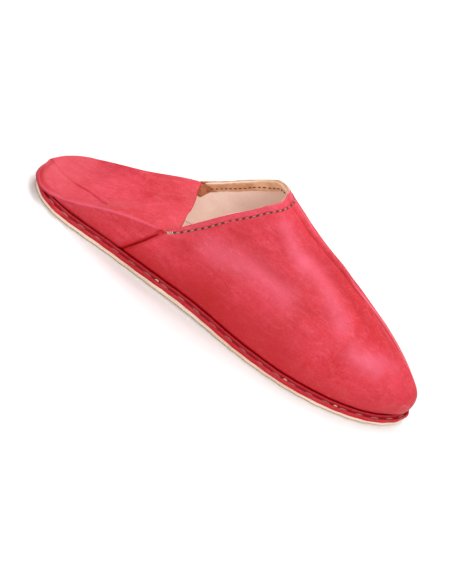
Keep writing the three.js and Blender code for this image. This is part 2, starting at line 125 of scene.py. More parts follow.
# Back edge of the vamp: up the side seam, then along the collar to the throat
BACK_EDGE = table(
    "turn along across up",
    (0, 0.253, 1, 0),
    (14, 0.282, 1, 0.5),
    (28, 0.306, 0.975, 1),
)
COLLAR = table(
    "turn along across up",
    (28, 0.306, 0.975, 0),
    (40, 0.356, 0.77, 0.31),
    (51, 0.396, 0.63, 0.58),
    (61, 0.429, 0.53, 0.78),
    (70, 0.45, 0.42, 0.905),
    (80, 0.4705, 0.22, 0.97),
    (90, 0.473, 0, 1),
)
SEAM_TURN = 28

# Roundness of the vamp's cross sections, 2 is an ellipse and more is boxier
ROUNDNESS = table(
    "along power",
    (0.2, 1.85),
    (0.47, 1.8),
    (0.6, 1.72),
    (0.75, 1.85),
    (0.9, 2.3),
    (1, 2.8),
)

# Height of the fold and of the flap's middle as shares of the rise to the seam top,
# and in millimetres how far the wall leans in at the near and the far fold and how far the rim droops
FOLD = table(
    "along edge middle lean far_lean droop",
    (0, 0, 0, -2.7, -2.7, 3.6),
    (0.0107, 0, 0, -2.7, -2.7, 3.6),
    (0.0114, 0, 0, -3.1, -2.3, 3.6),
    (0.0125, 0, 0, -3.6, -1.7, 3.6),
    (0.0145, 0, 0, -4.2, -1.1, 3.6),
    (0.02, 0, 0, -4.7, -0.5, 3.6),
    (0.03, 0, 0, -4.6, 0, 3.4),
    (0.055, 0.01, 0, -2.4, -0.7, 2.4),
    (0.08, 0.03, 0.015, 1, -1.7, 0.8),
    (0.12, 0.15, 0.13, 2.3, -0.8, 0),
    (0.2, 0.54, 0.5, 1.8, 3, 0),
    (0.306, 1, 0.96, 0, 0.1, 0),
    (0.36, 1.12, 1.08, 0, 0, 0),
)

# The flap's front edge on each side: how it bends, and how far its corner is pushed forward
FLAP_FRONT = {
    "near": dict(bend=3.5, push=4.5, fade=2.2, start=12),
    "far": dict(bend=1.6, push=2.2, fade=8, start=60),
}


def column_of(rows, name):
    return np.array([row[name] for row in rows], float)


# The curve of least bending through one column of a table
def smooth_curve(rows, at, of):
    x = column_of(rows, at)
    y = column_of(rows, of)
    count = len(x)
    gaps = np.diff(x)
    matrix = np.eye(count)
    pull = np.zeros(count)
    for i in range(1, count - 1):
        matrix[i, i - 1] = gaps[i - 1]
        matrix[i, i] = 2 * (gaps[i - 1] + gaps[i])
        matrix[i, i + 1] = gaps[i]
        pull[i] = 6 * ((y[i + 1] - y[i]) / gaps[i] - (y[i] - y[i - 1]) / gaps[i - 1])
    bend = np.linalg.solve(matrix, pull)

    def curve(value):
        i = np.clip(np.searchsorted(x, value) - 1, 0, count - 2)
        a = (x[i + 1] - value) / gaps[i]
        b = (value - x[i]) / gaps[i]
        swing = ((a**3 - a) * bend[i] + (b**3 - b) * bend[i + 1]) * gaps[i] ** 2 / 6
        return a * y[i] + b * y[i + 1] + swing

    return curve


# A curve through one column of a table that never swings past its rows
def steady_curve(rows, at, of):
    x = column_of(rows, at)
    y = column_of(rows, of)
    rate = np.diff(y) / np.diff(x)
    slope = np.zeros(len(x))
    slope[0] = rate[0]
    slope[-1] = rate[-1]
    for i in range(1, len(x) - 1):
        if rate[i - 1] * rate[i] > 0:
            slope[i] = 2 * rate[i - 1] * rate[i] / (rate[i - 1] + rate[i])

    def curve(value):
        i = np.clip(np.searchsorted(x, value) - 1, 0, len(x) - 2)
        gap = x[i + 1] - x[i]
        t = np.clip((value - x[i]) / gap, 0, 1)
        stay = (1 + 2 * t) * (1 - t) ** 2 * y[i] + t * t * (3 - 2 * t) * y[i + 1]
        return stay + gap * (t * (1 - t) ** 2 * slope[i] - t * t * (1 - t) * slope[i + 1])

    return curve


def mix(a, b, share):
    return a + (b - a) * share


def ease(share):
    t = np.clip(share, 0, 1)
    return t * t * (3 - 2 * t)


# A bell curve, 1 at no distance
def bell(distance, width):
    return np.exp(-((distance / width) ** 2))


def outline_row(row):
    half = (row["heel"] * HEEL_WIDTH + row["ball"] * BALL_WIDTH) / 2
    return dict(turn=math.acos(1 - 2 * row["along"]), half=half)


outline_rows = [outline_row(row) for row in OUTLINE]
half_width = smooth_curve(outline_rows, "turn", "half")
aside_share = smooth_curve(OUTLINE, "along", "aside")
ridge_share = smooth_curve(RIDGE, "along", "up")
roundness = steady_curve(ROUNDNESS, "along", "power")
fold_share = steady_curve(FOLD, "along", "edge")
middle_share = steady_curve(FOLD, "along", "middle")
fold_lean = {"near": steady_curve(FOLD, "along", "lean"), "far": steady_curve(FOLD, "along", "far_lean")}
fold_droop = steady_curve(FOLD, "along", "droop")
seam_curves = [smooth_curve(BACK_EDGE, "turn", name) for name in ("along", "across", "up")]
collar_along = smooth_curve(COLLAR, "turn", "along")
collar_across = steady_curve(COLLAR, "turn", "across")
collar_up = steady_curve(COLLAR, "turn", "up")


def rim_x(turn):
    return SOLE_LENGTH * (1 - np.cos(turn)) / 2


# Sideways place of the middle line, with the widest points of the outline centred
all_turns = np.linspace(0, math.pi, 6001)
aside_now = aside_share(rim_x(all_turns) / SOLE_LENGTH) * HEEL_WIDTH / 2
SIDE_CENTRE = (np.min(aside_now - half_width(all_turns)) + np.max(aside_now + half_width(all_turns))) / 2


def middle_line(x):
    return aside_share(x / SOLE_LENGTH) * HEEL_WIDTH / 2 - SIDE_CENTRE


# A point on the far side of the outline, moved inward square to the edge
def outline_point(turn, inset):
    step = 0.001
    dx = rim_x(turn + step) - rim_x(turn - step)
    dy = half_width(turn + step) - half_width(turn - step)
    size = np.hypot(dx, dy)
    return rim_x(turn) + inset * dy / size, half_width(turn) - inset * dx / size


girth_x = outline_point(all_turns, GIRTH_INSET)[0]


# The turn at which the girth line reaches a given length
def turn_for(x):
    return np.interp(x, girth_x, all_turns)


# Lift of the underside: flat heel, low arch, flat forefoot, toe spring
def rise(x):
    along = x / SOLE_LENGTH
    arch = np.clip((along - 0.27) / 0.31, 0, 1)
    toe = np.maximum((along - 0.78) / 0.22, 0)
    return ARCH_LIFT * np.sin(math.pi * arch) ** 2 + TOE_SPRING * toe * toe


def ridge_height(x):
    return INSTEP_HEIGHT * ridge_share(x / SOLE_LENGTH)


# Back edge of the vamp at a turn from 0 at the girth to 90 degrees at the throat
def back_edge(turn):
    low = turn <= SEAM_TURN
    along, across, up = (curve(turn) for curve in seam_curves)
    x = SOLE_LENGTH * np.where(low, along, collar_along(turn))
    over = np.where(low, across, collar_across(turn))
    seam_z = mix(GIRTH_HEIGHT, SIDE_HEIGHT, up)
    collar_z = mix(SIDE_HEIGHT, INSTEP_HEIGHT, collar_up(turn))
    return x, over, np.where(low, seam_z, collar_z)


def back_edge_x(turn):
    return float(back_edge(np.array(float(turn)))[0])


SEAM_FOOT_X = back_edge_x(0)
SEAM_TOP_X = back_edge_x(SEAM_TURN)
THROAT_X = back_edge_x(90)
FAN_X = FAN_START * SOLE_LENGTH


# A point on the near side of the vamp; share runs from the back edge to the fan
def vamp_side(share, turn):
    edge_x, edge_across, edge_z = back_edge(turn)
    x = mix(edge_x, FAN_X, share)
    half = outline_point(turn_for(x), GIRTH_INSET)[1]
    angle = np.radians(turn)
    power = 2 / roundness(x / SOLE_LENGTH)
    across = mix(edge_across, np.maximum(np.cos(angle), 0) ** power, ease(share * 1.6))
    base = GIRTH_HEIGHT + rise(x)
    opening = (edge_z - GIRTH_HEIGHT) / (ridge_height(edge_x) - GIRTH_HEIGHT)
    up = mix(opening, np.sin(angle) ** power, ease(share * 1.6))
    return np.stack([x, -half * across, mix(base, ridge_height(x), up)], -1)


# A point on the near side of the toe, where the columns fan out from the ridge
def vamp_toe(share, turn):
    outline = mix(turn_for(FAN_X), math.pi, share)
    foot_x, foot_y = outline_point(outline, GIRTH_INSET)
    crest_x = mix(FAN_X, TOE_POLE * SOLE_LENGTH, share)
    angle = np.radians(turn)
    power = 2 / roundness(foot_x / SOLE_LENGTH)
    across = np.maximum(np.cos(angle), 0) ** power
    x = mix(crest_x, foot_x, across)
    base = GIRTH_HEIGHT + rise(x)
    return np.stack([x, -foot_y * across, mix(base, ridge_height(x), np.sin(angle) ** power)], -1)


# The near half of the vamp at a reach of 0 to 1 over the side and 1 to 2 over the toe,
# with a low crest along the ridge that dies out towards the throat and the toe
def vamp_at(reach, turn):
    reach, turn = np.broadcast_arrays(np.asarray(reach, float), np.asarray(turn, float))
    in_toe = reach > 1
    side = vamp_side(np.minimum(reach, 1), turn)
    toe = vamp_toe(np.clip(reach - 1, 0, 1), turn)
    points = np.where(in_toe[..., None], toe, side)
    left = np.where(in_toe, (2 - reach) * 1.4, (1 - reach) * 9)
    crest = np.clip((turn - CREST_TURN) / (90 - CREST_TURN), 0, 1) ** 2
    points[..., 2] += CREASE_RISE * ease(left) * crest
    return points


# Rows of turns from the girth to the ridge, closer together at both ends
def turn_rows(count):
    even = np.linspace(0, 1, count + 1)
    graded = 0.5 - 0.5 * np.cos(math.pi * even)
    return 90 * mix(even, graded, 0.55)


# The near half of the vamp with the tuck below its girth
def vamp_half(side_steps, toe_steps, turn_steps, tuck_steps):
    reach = np.concatenate([np.linspace(0, 1, side_steps + 1), 1 + np.linspace(0, 1, toe_steps + 1)[1:]])
    turns = turn_rows(turn_steps)
    sheet = vamp_at(reach[:, None], turns[None, :])
    sheet[:, -1, 1] = 0
    sheet[-1, :, 1] = 0
    girth = sheet[:, 0]
    outline = np.where(reach <= 1, turn_for(girth[:, 0]), mix(turn_for(FAN_X), math.pi, reach - 1))
    at_girth = np.stack(outline_point(outline, GIRTH_INSET), -1)
    tuck = []
    for part in np.linspace(0, 1, tuck_steps + 1)[:-1]:
        inset = mix(FOOT_INSET, GIRTH_INSET, ease(part))
        moved = np.stack(outline_point(outline, inset), -1) - at_girth
        x = girth[:, 0] + moved[:, 0]
        y = girth[:, 1] - moved[:, 1]
        z = mix(FOOT_BASE, GIRTH_HEIGHT, part) + rise(x)
        tuck.append(np.stack([x, y, z], -1))
    sheet = np.concatenate([np.stack(tuck, 1), sheet], 1)
    sheet[-1, :, 1] = 0
    return sheet


# A point of the heel wall: near the seam it moves forward with height, round the heel it fans out
def wall_point(share, outline, inset, lean, height):
    at_x, at_y = outline_point(outline, inset)
    base_x, base_y = outline_point(outline, GIRTH_INSET)
    shifted_y = outline_point(turn_for(base_x + lean), GIRTH_INSET)[1]
    x = mix(base_x, at_x, ease(share * 4)) + lean
    y = at_y + np.where(lean > 0, shifted_y - base_y, 0)
    return np.stack([x, -y, height + rise(x)], -1)


# Height of the heel piece along its fold, or along the flap's middle line
def heel_height(share_at, x):
    return mix(HEEL_HEIGHT, SIDE_HEIGHT, share_at(x / SOLE_LENGTH))


# Share of the way from the girth up to the seam top
def climb(height):
    return np.maximum(height - GIRTH_HEIGHT, 0) / (SIDE_HEIGHT - GIRTH_HEIGHT)


# Rows of mesh round the heel piece, then up its wall, over its fold and across its flap
HEEL_STEPS = 165
WALL_STEPS = 22
FOLD_STEPS = 12
FLAP_STEPS = 74


# One half of the heel piece on the near side: wall, fold, then flap to the middle line
def heel_half(side):
    share = np.linspace(0, 1, HEEL_STEPS + 1)
    behind = SEAT_GAP * 1.25
    foot_x = SEAM_FOOT_X - behind
    seam_x = SEAM_TOP_X - behind
    outline = mix(turn_for(foot_x), 0, share)
    lean = (seam_x - foot_x) * (1 - ease(share * 1.6))
    base_x = outline_point(outline, GIRTH_INSET)[0] + lean
    wall_top = heel_height(fold_share, base_x) - FOLD_RADIUS
    lean_in = fold_lean[side](base_x / SOLE_LENGTH)
    droop = fold_droop(base_x / SOLE_LENGTH)

    def sag(inset):
        return droop * np.clip((DROOP_START - inset) / DROOP_REACH, 0, 1) ** 2

    rows = []
    for part in np.linspace(0, 1, WALL_STEPS + 1):
        height = mix(FOOT_BASE, wall_top, part**1.3)
        tuck = ease((height - FOOT_BASE) / (np.minimum(GIRTH_HEIGHT, wall_top) - FOOT_BASE))
        tip = np.clip((height - TUCK_HEIGHT) / np.maximum(wall_top - TUCK_HEIGHT, 0.1), 0, 1)
        inset = mix(FOOT_INSET, GIRTH_INSET, tuck) + lean_in * tip
        point = wall_point(share, outline, inset, climb(height) * lean, height - sag(inset))
        ahead = ease((point[:, 0] - point[0, 0]) / LAP_REACH + 1) * ease((1 - part) * 6)
        point[:, 0] += LAP_UNDER * ahead
        point[:, 1] += LAP_SINK * ahead
        rows.append(point)
    for part in np.linspace(0, 1, FOLD_STEPS + 1)[1:]:
        angle = part * (math.pi / 2 - 0.11 * droop)
        height = wall_top + FOLD_RADIUS * np.sin(angle)
        inset = GIRTH_INSET + lean_in + FOLD_RADIUS * (1 - np.cos(angle))
        rows.append(wall_point(share, outline, inset, climb(wall_top) * lean, height - sag(inset)))
    top = rows[-1]
    middle_x = mix(SEAM_TOP_X + FLAP_REACH, FLAP_POLE * SOLE_LENGTH, ease(share))
    front = FLAP_FRONT[side]
    power = mix(front["bend"], 2, ease(share * 2))
    top_inset = GIRTH_INSET + lean_in + FOLD_RADIUS
    offset = top[:, 2] - rise(top[:, 0]) - heel_height(fold_share, top[:, 0]) + sag(top_inset)
    corner = front["push"] * (1 - ease(share * 6))
    for part in np.linspace(0, 1, FLAP_STEPS + 1)[1:] ** 1.25:
        pushed = (1 - part) ** front["fade"] * (1 - (1 - part) ** front["start"])
        x = mix(top[:, 0], middle_x, 1 - (1 - part) ** power) + corner * pushed
        y = mix(top[:, 1], 0, part)
        inset = top_inset + np.hypot(x - top[:, 0], y - top[:, 1])
        level = mix(heel_height(fold_share, x), heel_height(middle_share, x), part)
        level += rise(x) + offset * (1 - part)
        rows.append(np.stack([x, y, level - sag(inset)], -1))
    sheet = np.stack(rows, 1)
    sheet[:, -1, 1] = 0
    sheet[-1, :, 1] = 0
    return sheet


MIRROR = [1, -1, 1]


# A line of the near side carried on over the ridge to the far side
def over_ridge(line):
    line[-1, 1] = 0
    return np.concatenate([line, line[-2::-1] * MIRROR])


def on_both_sides(line):
    return np.concatenate([line, line * MIRROR])


# Points of both sides laid on the near side
def laid_near(points):
    return points * [1, 0, 1] - np.abs(points) * [0, 1, 0]


# Join a half and the mirror image of a second along the ridge, and along the last column where closed
def join_halves(sheet, far_sheet, closed, flip):
    columns, rows = sheet.shape[:2]
    near = np.arange(columns * rows).reshape(columns, rows)
    far = near + columns * rows
    far[:, -1] = near[:, -1]
    if closed:
        far[-1, :] = near[-1, :]
    mirrored = far_sheet * MIRROR
    points = np.concatenate([sheet.reshape(-1, 3), mirrored.reshape(-1, 3)])
    near_quads = grid_quads(near)
    far_quads = grid_quads(far)[:, ::-1]
    quads = np.concatenate([near_quads, far_quads])
    if flip:
        quads = quads[:, ::-1]
    used, quads = np.unique(quads, return_inverse=True)
    return points[used], quads.reshape(-1, 4)


def grid_quads(index):
    return np.stack([index[:-1, :-1], index[1:, :-1], index[1:, 1:], index[:-1, 1:]], -1).reshape(-1, 4)


def unit(vectors):
    return vectors / np.maximum(np.linalg.norm(vectors, axis=-1, keepdims=True), 1e-9)


# Direction of the skin at each point, from the faces round it
def point_normals(points, quads):
    corners = points[quads]
    face = np.cross(corners[:, 2] - corners[:, 0], corners[:, 3] - corners[:, 1])
    normals = np.zeros_like(points)
    for k in range(4):
        np.add.at(normals, quads[:, k], face)
    return unit(normals)


# Faces across the rounded rim of a leather edge
RIM_STEPS = 4


# Give a skin a thickness inward, with its free edges rounded over
def thicken(points, quads, depth):
    normals = point_normals(points, quads)
    count = len(points)
    heads = quads.reshape(-1)
    tails = np.roll(quads, -1, 1).reshape(-1)
    known = set(zip(heads.tolist(), tails.tolist()))
    free = [(a, b) for a, b in zip(heads.tolist(), tails.tolist()) if (b, a) not in known]
    outward = np.zeros_like(points)
    for a, b in free:
        push = np.cross(unit(points[b] - points[a]), normals[a] + normals[b])
        outward[a] += push
        outward[b] += push
    rim = sorted({a for edge in free for a in edge})
    place_of = {vertex: i for i, vertex in enumerate(rim)}
    side = unit(outward[rim])
    middle = points[rim] - normals[rim] * depth / 2
    rows = []
    for j in range(1, RIM_STEPS):
        angle = math.pi * j / RIM_STEPS
        rows.append(middle + (normals[rim] * math.cos(angle) + side * math.sin(angle)) * depth / 2)
    body = np.concatenate([points, points - normals * depth, *rows])
    faces = [quads, quads[:, ::-1] + count]

    def ring_index(vertex, j):
        if j == 0:
            return vertex
        if j == RIM_STEPS:
            return vertex + count
        return 2 * count + (j - 1) * len(rim) + place_of[vertex]

    edges = []
    for a, b in free:
        for j in range(RIM_STEPS):
            edges.append([ring_index(b, j), ring_index(a, j), ring_index(a, j + 1), ring_index(b, j + 1)])
    faces.append(np.array(edges, int))
    return body, np.concatenate(faces), len(edges)


# Values of a skin's points on both faces of its thickened body, and none on the rim
def on_body(values, body):
    return np.concatenate([values, values, np.zeros(len(body) - 2 * len(values))])


# Move points from the shoe's own frame in millimetres to the shared frame in metres
def place(points):
    placed = np.array(points, float)
    placed[:, 1] += middle_line(placed[:, 0])
    placed[:, 0] -= SOLE_LENGTH / 2
    return placed * 0.001


# A smooth mesh on the shoe's body, with its materials, the nodes it stands for and its tones
def add_piece(name, points, faces, materials, nodes=(), face_material=None, tones=None):
    mesh = bpy.data.meshes.new(name)
    mesh.from_pydata(place(points).tolist(), [], [list(map(int, face)) for face in faces])
    mesh.polygons.foreach_set("use_smooth", [True] * len(mesh.polygons))
    for material in materials:
        mesh.materials.append(material)
    if face_material is not None:
        mesh.polygons.foreach_set("material_index", np.asarray(face_material, np.int32))
    for label, values in (tones or {}).items():
        layer = mesh.attributes.new(label, "FLOAT", "POINT")
        layer.data.foreach_set("value", np.asarray(values, np.float32))
    mesh.update()
    piece = bpy.data.objects.new(name, mesh)
    bpy.context.scene.collection.objects.link(piece)
    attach(piece, "root")
    if nodes:
        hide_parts(*nodes)
    return piece


# Soft waves of seeded directions and lengths, about 1 high
def waves(points, seed, count, shortest, longest):
    random = np.random.default_rng(seed)
    total = np.zeros(len(points))
    for _ in range(count):
        direction = unit(random.normal(size=3))
        length = random.uniform(shortest, longest)
        phase = random.uniform(0, 2 * math.pi)
        total += np.sin(points @ direction * 2 * math.pi / length + phase)
    return total / math.sqrt(count)


# Places along each smooth line
LINE_STEPS = 28


# A smooth line through a few points
def smooth_line(points):
    knots = np.asarray(points, float)
    spans = np.linalg.norm(np.diff(knots, axis=0), axis=1)
    far = np.concatenate([[0], np.cumsum(spans)])
    rows = [dict(far=f, x=p[0], y=p[1], z=p[2]) for f, p in zip(far, knots)]
    at = np.linspace(0, far[-1], LINE_STEPS)
    return np.stack([smooth_curve(rows, "far", name)(at) for name in "xyz"], -1)


# Distance from points to a line, and how far along it they are
def near_line(points, line):
    start = line[:-1]
    step = line[1:] - start
    best = np.full(len(points), 1e9)
    along = np.zeros(len(points))
    for i in range(len(step)):
        away = points - start[i]
        t = np.clip(away @ step[i] / max(step[i] @ step[i], 1e-9), 0, 1)
        distance = np.linalg.norm(away - t[:, None] * step[i], axis=1)
        closer = distance < best
        best[closer] = distance[closer]
        along[closer] = (i + t[closer]) / len(step)
    return best, along


# How a crease or band fades out towards both ends
def end_fade(along, lift=0):
    return ease(along * 4 + lift) * ease((1 - along) * 4 + lift)


# Push points along their normals by a list of soft creases; a negative height is a trough
def crease_relief(points, creases):
    total = np.zeros(len(points))
    for crease in creases:
        distance, along = near_line(points, smooth_line(vamp_places(crease["path"])))
        width = crease["width"]
        taper = end_fade(along)
        body = bell(distance, width)
        shoulder = bell(distance - 1.9 * width, width)
        total += crease["height"] * taper * (body - 0.3 * shoulder)
    return total


# Places on the vamp from pairs of length and turn; past 90 degrees they are on the far side
def vamp_places(path):
    shares = np.linspace(0, 2, 801)
    places = []
    for along, turn in path:
        over = turn > 90
        at = vamp_at(shares, 180 - turn if over else turn)
        nearest = int(np.argmin(np.abs(at[:, 0] - along * SOLE_LENGTH)))
        places.append(at[nearest] * [1, -1 if over else 1, 1])
    return places


# Creases of the vamp as (share of the sole's length, turn round the foot) pairs, width and height in mm
RIDGE_LINE = [
    (0.478, 86.5), (0.534, 86), (0.58, 86), (0.617, 86.3), (0.657, 87), (0.698, 88.5),
    (0.74, 90.5), (0.782, 93.5), (0.836, 97), (0.895, 99), (0.93, 100),
]
RIDGE_LIP = [(along, turn + 5) for along, turn in RIDGE_LINE]
VAMP_WRINKLES = [
    [(0.426, 47), (0.45, 46), (0.483, 46), (0.509, 48)],
    [(0.399, 47), (0.431, 45.5), (0.46, 44)],
    [(0.479, 48), (0.519, 50), (0.553, 50), (0.585, 51)],
    [(0.519, 44), (0.551, 46), (0.578, 46)],
    [(0.445, 52), (0.468, 49), (0.495, 50), (0.52, 53)],
    [(0.46, 43), (0.49, 42), (0.52, 42.5)],
    [(0.53, 53), (0.56, 53.5), (0.6, 56)],
    [(0.38, 53), (0.4, 50), (0.425, 45)],
    [(0.6, 40), (0.635, 43), (0.67, 48)],
    [(0.48, 63), (0.503, 61), (0.536, 58), (0.56, 56)],
    [(0.985, 4), (0.976, 12), (0.965, 22)],
    [(0.9, 20), (0.88, 26), (0.85, 30)],
]
VAMP_CREASES = table(
    "path width height",
    (RIDGE_LINE, 0.9, -0.8),
    (RIDGE_LIP, 1.6, 0.35),
    ([(0.48, 82), (0.56, 83), (0.64, 83), (0.74, 84), (0.84, 88)], 5, 0.9),
    ([(0.5, 100), (0.56, 101), (0.64, 101), (0.74, 103), (0.84, 108)], 5, 0.8),
    ([(0.46, 94), (0.51, 94), (0.56, 94), (0.62, 95), (0.72, 96)], 9, 1.7),
    ([(0.47, 64), (0.534, 67), (0.601, 63), (0.66, 60)], 6, 0.5),
    ([(0.56, 75), (0.62, 75), (0.71, 73), (0.813, 71)], 4, -0.6),
    ([(0.4, 56), (0.428, 50), (0.47, 45), (0.52, 44), (0.61, 48)], 3.4, -0.9),
    ([(0.6, 38), (0.66, 44), (0.71, 52), (0.76, 55)], 4, -0.4),
    ([(0.62, 22), (0.7, 12), (0.8, 16), (0.87, 24)], 5, 0.5),
    ([(0.8, 44), (0.83, 50), (0.866, 60)], 4, 0.4),
    ([(0.984, 2), (0.976, 6), (0.955, 16)], 1.6, -0.9),
    ([(0.335, 30), (0.345, 24), (0.35, 16)], 3, -0.35),
    *((path, 0.7, -0.32) for path in VAMP_WRINKLES),
)
VAMP_WAVES = 0.2
FACING_WAVES = 0.25
HEEL_WAVES = 0.15
TOE_BULGE = 1.1
STITCH_GROOVE = 0.22

collar_edge = over_ridge(vamp_at(np.zeros(90), np.linspace(SEAM_TURN, 90, 90)))
seam_edge = vamp_at(np.zeros(40), np.linspace(0, SEAM_TURN, 40))
STITCH_DEPTH = 3.3

# How far below the collar the row of stitches runs, in millimetres, from the side seam to the ridge
STITCH_START_TURN = 27.4
STITCH_ROW = table(
    "turn depth",
    (STITCH_START_TURN, 0.9),
    (32, 2.4),
    (40, 3.2),
    (60, 3.3),
    (70, 3.5),
    (80, 4.1),
    (90, 5.6),
)


# A line on the vamp below the collar, from the near seam over the ridge to the far seam
def below_collar(depths, start_turn):
    turns = np.linspace(start_turn, 90, 120)
    shares = np.linspace(0, 0.25, 126)
    sheet = vamp_at(shares[None, :], turns[:, None])
    distance, _ = near_line(sheet.reshape(-1, 3), collar_edge)
    distance = distance.reshape(len(turns), len(shares))
    depths = depths(turns) * np.ones(len(turns))
    reach = np.array([np.interp(depths[k], distance[k], shares) for k in range(len(turns))])
    return over_ridge(vamp_at(reach, turns))


stitch_line = below_collar(steady_curve(STITCH_ROW, "turn", "depth"), STITCH_START_TURN)


def vamp_waves(points):
    return waves(points, seed=7, count=9, shortest=22, longest=70) * VAMP_WAVES


# The whole vamp's outer skin with its waves, creases, stitch groove, raised lap and full toe
def vamp_skin(side_steps, toe_steps, turn_steps, tuck_steps):
    half = vamp_half(side_steps, toe_steps, turn_steps, tuck_steps)
    points, quads = join_halves(half, half, closed=True, flip=False)
    normals = point_normals(points, quads)
    held = ease((points[:, 2] - GIRTH_HEIGHT) / 10)
    push = vamp_waves(points) * held
    push += crease_relief(points, VAMP_CREASES) * held
    push -= STITCH_GROOVE * bell(near_line(points, stitch_line)[0], 1)
    push += LAP_RAISE * (1 - ease(near_line(laid_near(points), seam_edge)[0] / 4))
    toe = ease((points[:, 0] / SOLE_LENGTH - 0.93) / 0.05) * ease((27 - points[:, 2]) / 10)
    push += TOE_BULGE * toe * ease((points[:, 2] - FOOT_BASE) / 4)
    return points + normals * push[:, None], quads


def inset_skin(points, quads, depth):
    return points - point_normals(points, quads) * depth


# Linear colour of a web colour code
def paint(code):
    values = [int(code[i : i + 2], 16) / 255 for i in (1, 3, 5)]
    return tuple(((v + 0.055) / 1.055) ** 2.4 if v > 0.04045 else v / 12.92 for v in values) + (1.0,)


# A material and the nodes that feed its shader
class Finish:
    def __init__(self, name, roughness, specular=0.5):
        self.material = bpy.data.materials.new(name)
        self.material.use_nodes = True
        self.tree = self.material.node_tree
        self.shader = self.tree.nodes["Principled BSDF"]
        self.shader.inputs["Roughness"].default_value = roughness
        self.shader.inputs["Specular IOR Level"].default_value = specular
        self.place = self.node("ShaderNodeTexCoord").outputs["Object"]

    # A node with the values or links of its inputs, and its own settings
    def node(self, kind, inputs=(), **settings):
        made = self.tree.nodes.new(kind)
        for name, value in settings.items():
            setattr(made, name, value)
        for name, value in dict(inputs).items():
            self.feed(made.inputs[name], value)
        return made

    def feed(self, socket, value):
        if isinstance(value, bpy.types.NodeSocket):
            self.tree.links.new(value, socket)
        else:
            socket.default_value = value

    # Object space stretched or turned before a pattern reads it
    def space(self, scale, turn=(0, 0, 0)):
        inputs = {"Vector": self.place, "Scale": scale, "Rotation": turn}
        return self.node("ShaderNodeMapping", inputs).outputs["Vector"]

    # Noise whose grains are about size millimetres across
    def noise(self, size, detail=3.0, rough=0.55, warp=0.0, space=None):
        inputs = {"Vector": space or self.place, "Scale": 1000 / size, "Detail": detail}
        inputs.update({"Roughness": rough, "Distortion": warp})
        return self.node("ShaderNodeTexNoise", inputs).outputs["Fac"]

    def cells(self, size):
        inputs = {"Vector": self.place, "Scale": 1000 / size}
        return self.node("ShaderNodeTexVoronoi", inputs).outputs["Distance"]

    def spread(self, value, low, high, out_low=0.0, out_high=1.0):
        inputs = {"Value": value, "From Min": low, "From Max": high, "To Min": out_low, "To Max": out_high}
        return self.node("ShaderNodeMapRange", inputs, interpolation_type="SMOOTHSTEP").outputs["Result"]

    def math(self, operation, a, b):
        return self.node("ShaderNodeMath", {0: a, 1: b}, operation=operation).outputs[0]

    # A colour laid over another where the cover is high
    def over(self, color, cover, code):
        node = self.node("ShaderNodeMix", data_type="RGBA")
        self.feed(node.inputs["Factor"], cover)
        self.feed(node.inputs["A"], color)
        self.feed(node.inputs["B"], paint(code))
        return next(output for output in node.outputs if output.type == "RGBA")

    def share(self, value, part):
        return self.math("MULTIPLY", value, part)

    def tone(self, name):
        return self.node("ShaderNodeAttribute", attribute_name=name).outputs["Fac"]

    def height(self):
        return self.node("ShaderNodeSeparateXYZ", {0: self.place}).outputs["Z"]

    # Relief of distance millimetres from a 0 to 1 height
    def bump(self, height, distance, strength, under=None):
        inputs = {"Height": height, "Distance": distance / 1000, "Strength": strength}
        if under is not None:
            inputs["Normal"] = under
        return self.node("ShaderNodeBump", inputs).outputs["Normal"]

    def wear(self, color, normal=None, roughness=None):
        self.feed(self.shader.inputs["Base Color"], color)
        if normal is not None:
            self.feed(self.shader.inputs["Normal"], normal)
        if roughness is not None:
            self.feed(self.shader.inputs["Roughness"], roughness)
        return self.material


# Red goatskin, mottled by hand dyeing, with painted shade where it turns under and painted highlights in pink
def red_leather(name, light="#db384a", dark="#c21b26", painted_shade_code="#ab0006", gloss=0.46, shine=0.28):
    skin = Finish(name, gloss, shine)
    cloud = skin.spread(skin.noise(34, 4, 0.55, 0.4), 0.36, 0.66)
    fine = skin.spread(skin.noise(5, 4, 0.6), 0.3, 0.7)
    pores = skin.spread(skin.noise(1.1, 3, 0.65), 0.35, 0.68)
    drawn = skin.noise(3, 4, 0.65, 0.8, skin.space((0.35, 1, 1), (0, 0, math.radians(-28))))
    color = skin.over(paint(dark), skin.share(cloud, 0.75), light)
    color = skin.over(color, skin.share(fine, 0.36), "#b41020")
    color = skin.over(color, skin.share(pores, 0.08), "#f08a9c")
    # Paler pink on the crests of the drawn grain is a painted highlight
    color = skin.over(color, skin.spread(drawn, 0.45, 0.75, 0, 0.2), "#ee7488")
    # Pink painted highlight where the vertex tone asks for it
    color = skin.over(color, skin.tone("painted_highlight"), "#ea6c86")
    # Deep red painted shade where the vertex tone asks for it
    color = skin.over(color, skin.math("MINIMUM", skin.tone("painted_shade"), 1.0), painted_shade_code)
    grain = skin.math("ADD", skin.cells(0.9), skin.share(skin.noise(0.7, 2), 0.6))
    normal = skin.bump(grain, 0.12, 0.7)
    normal = skin.bump(drawn, 0.4, 0.6, normal)
    normal = skin.bump(skin.noise(7, 3, 0.6, 0.5), 0.45, 0.6, normal)
    rough = skin.spread(skin.noise(16, 4, 0.6), 0.3, 0.7, gloss - 0.06, gloss + 0.1)
    return skin.wear(color, normal, rough)


# Strength of a glow in the suede's own colour, painted light for the light bouncing inside the shoe
PAINTED_GLOW = 0.24


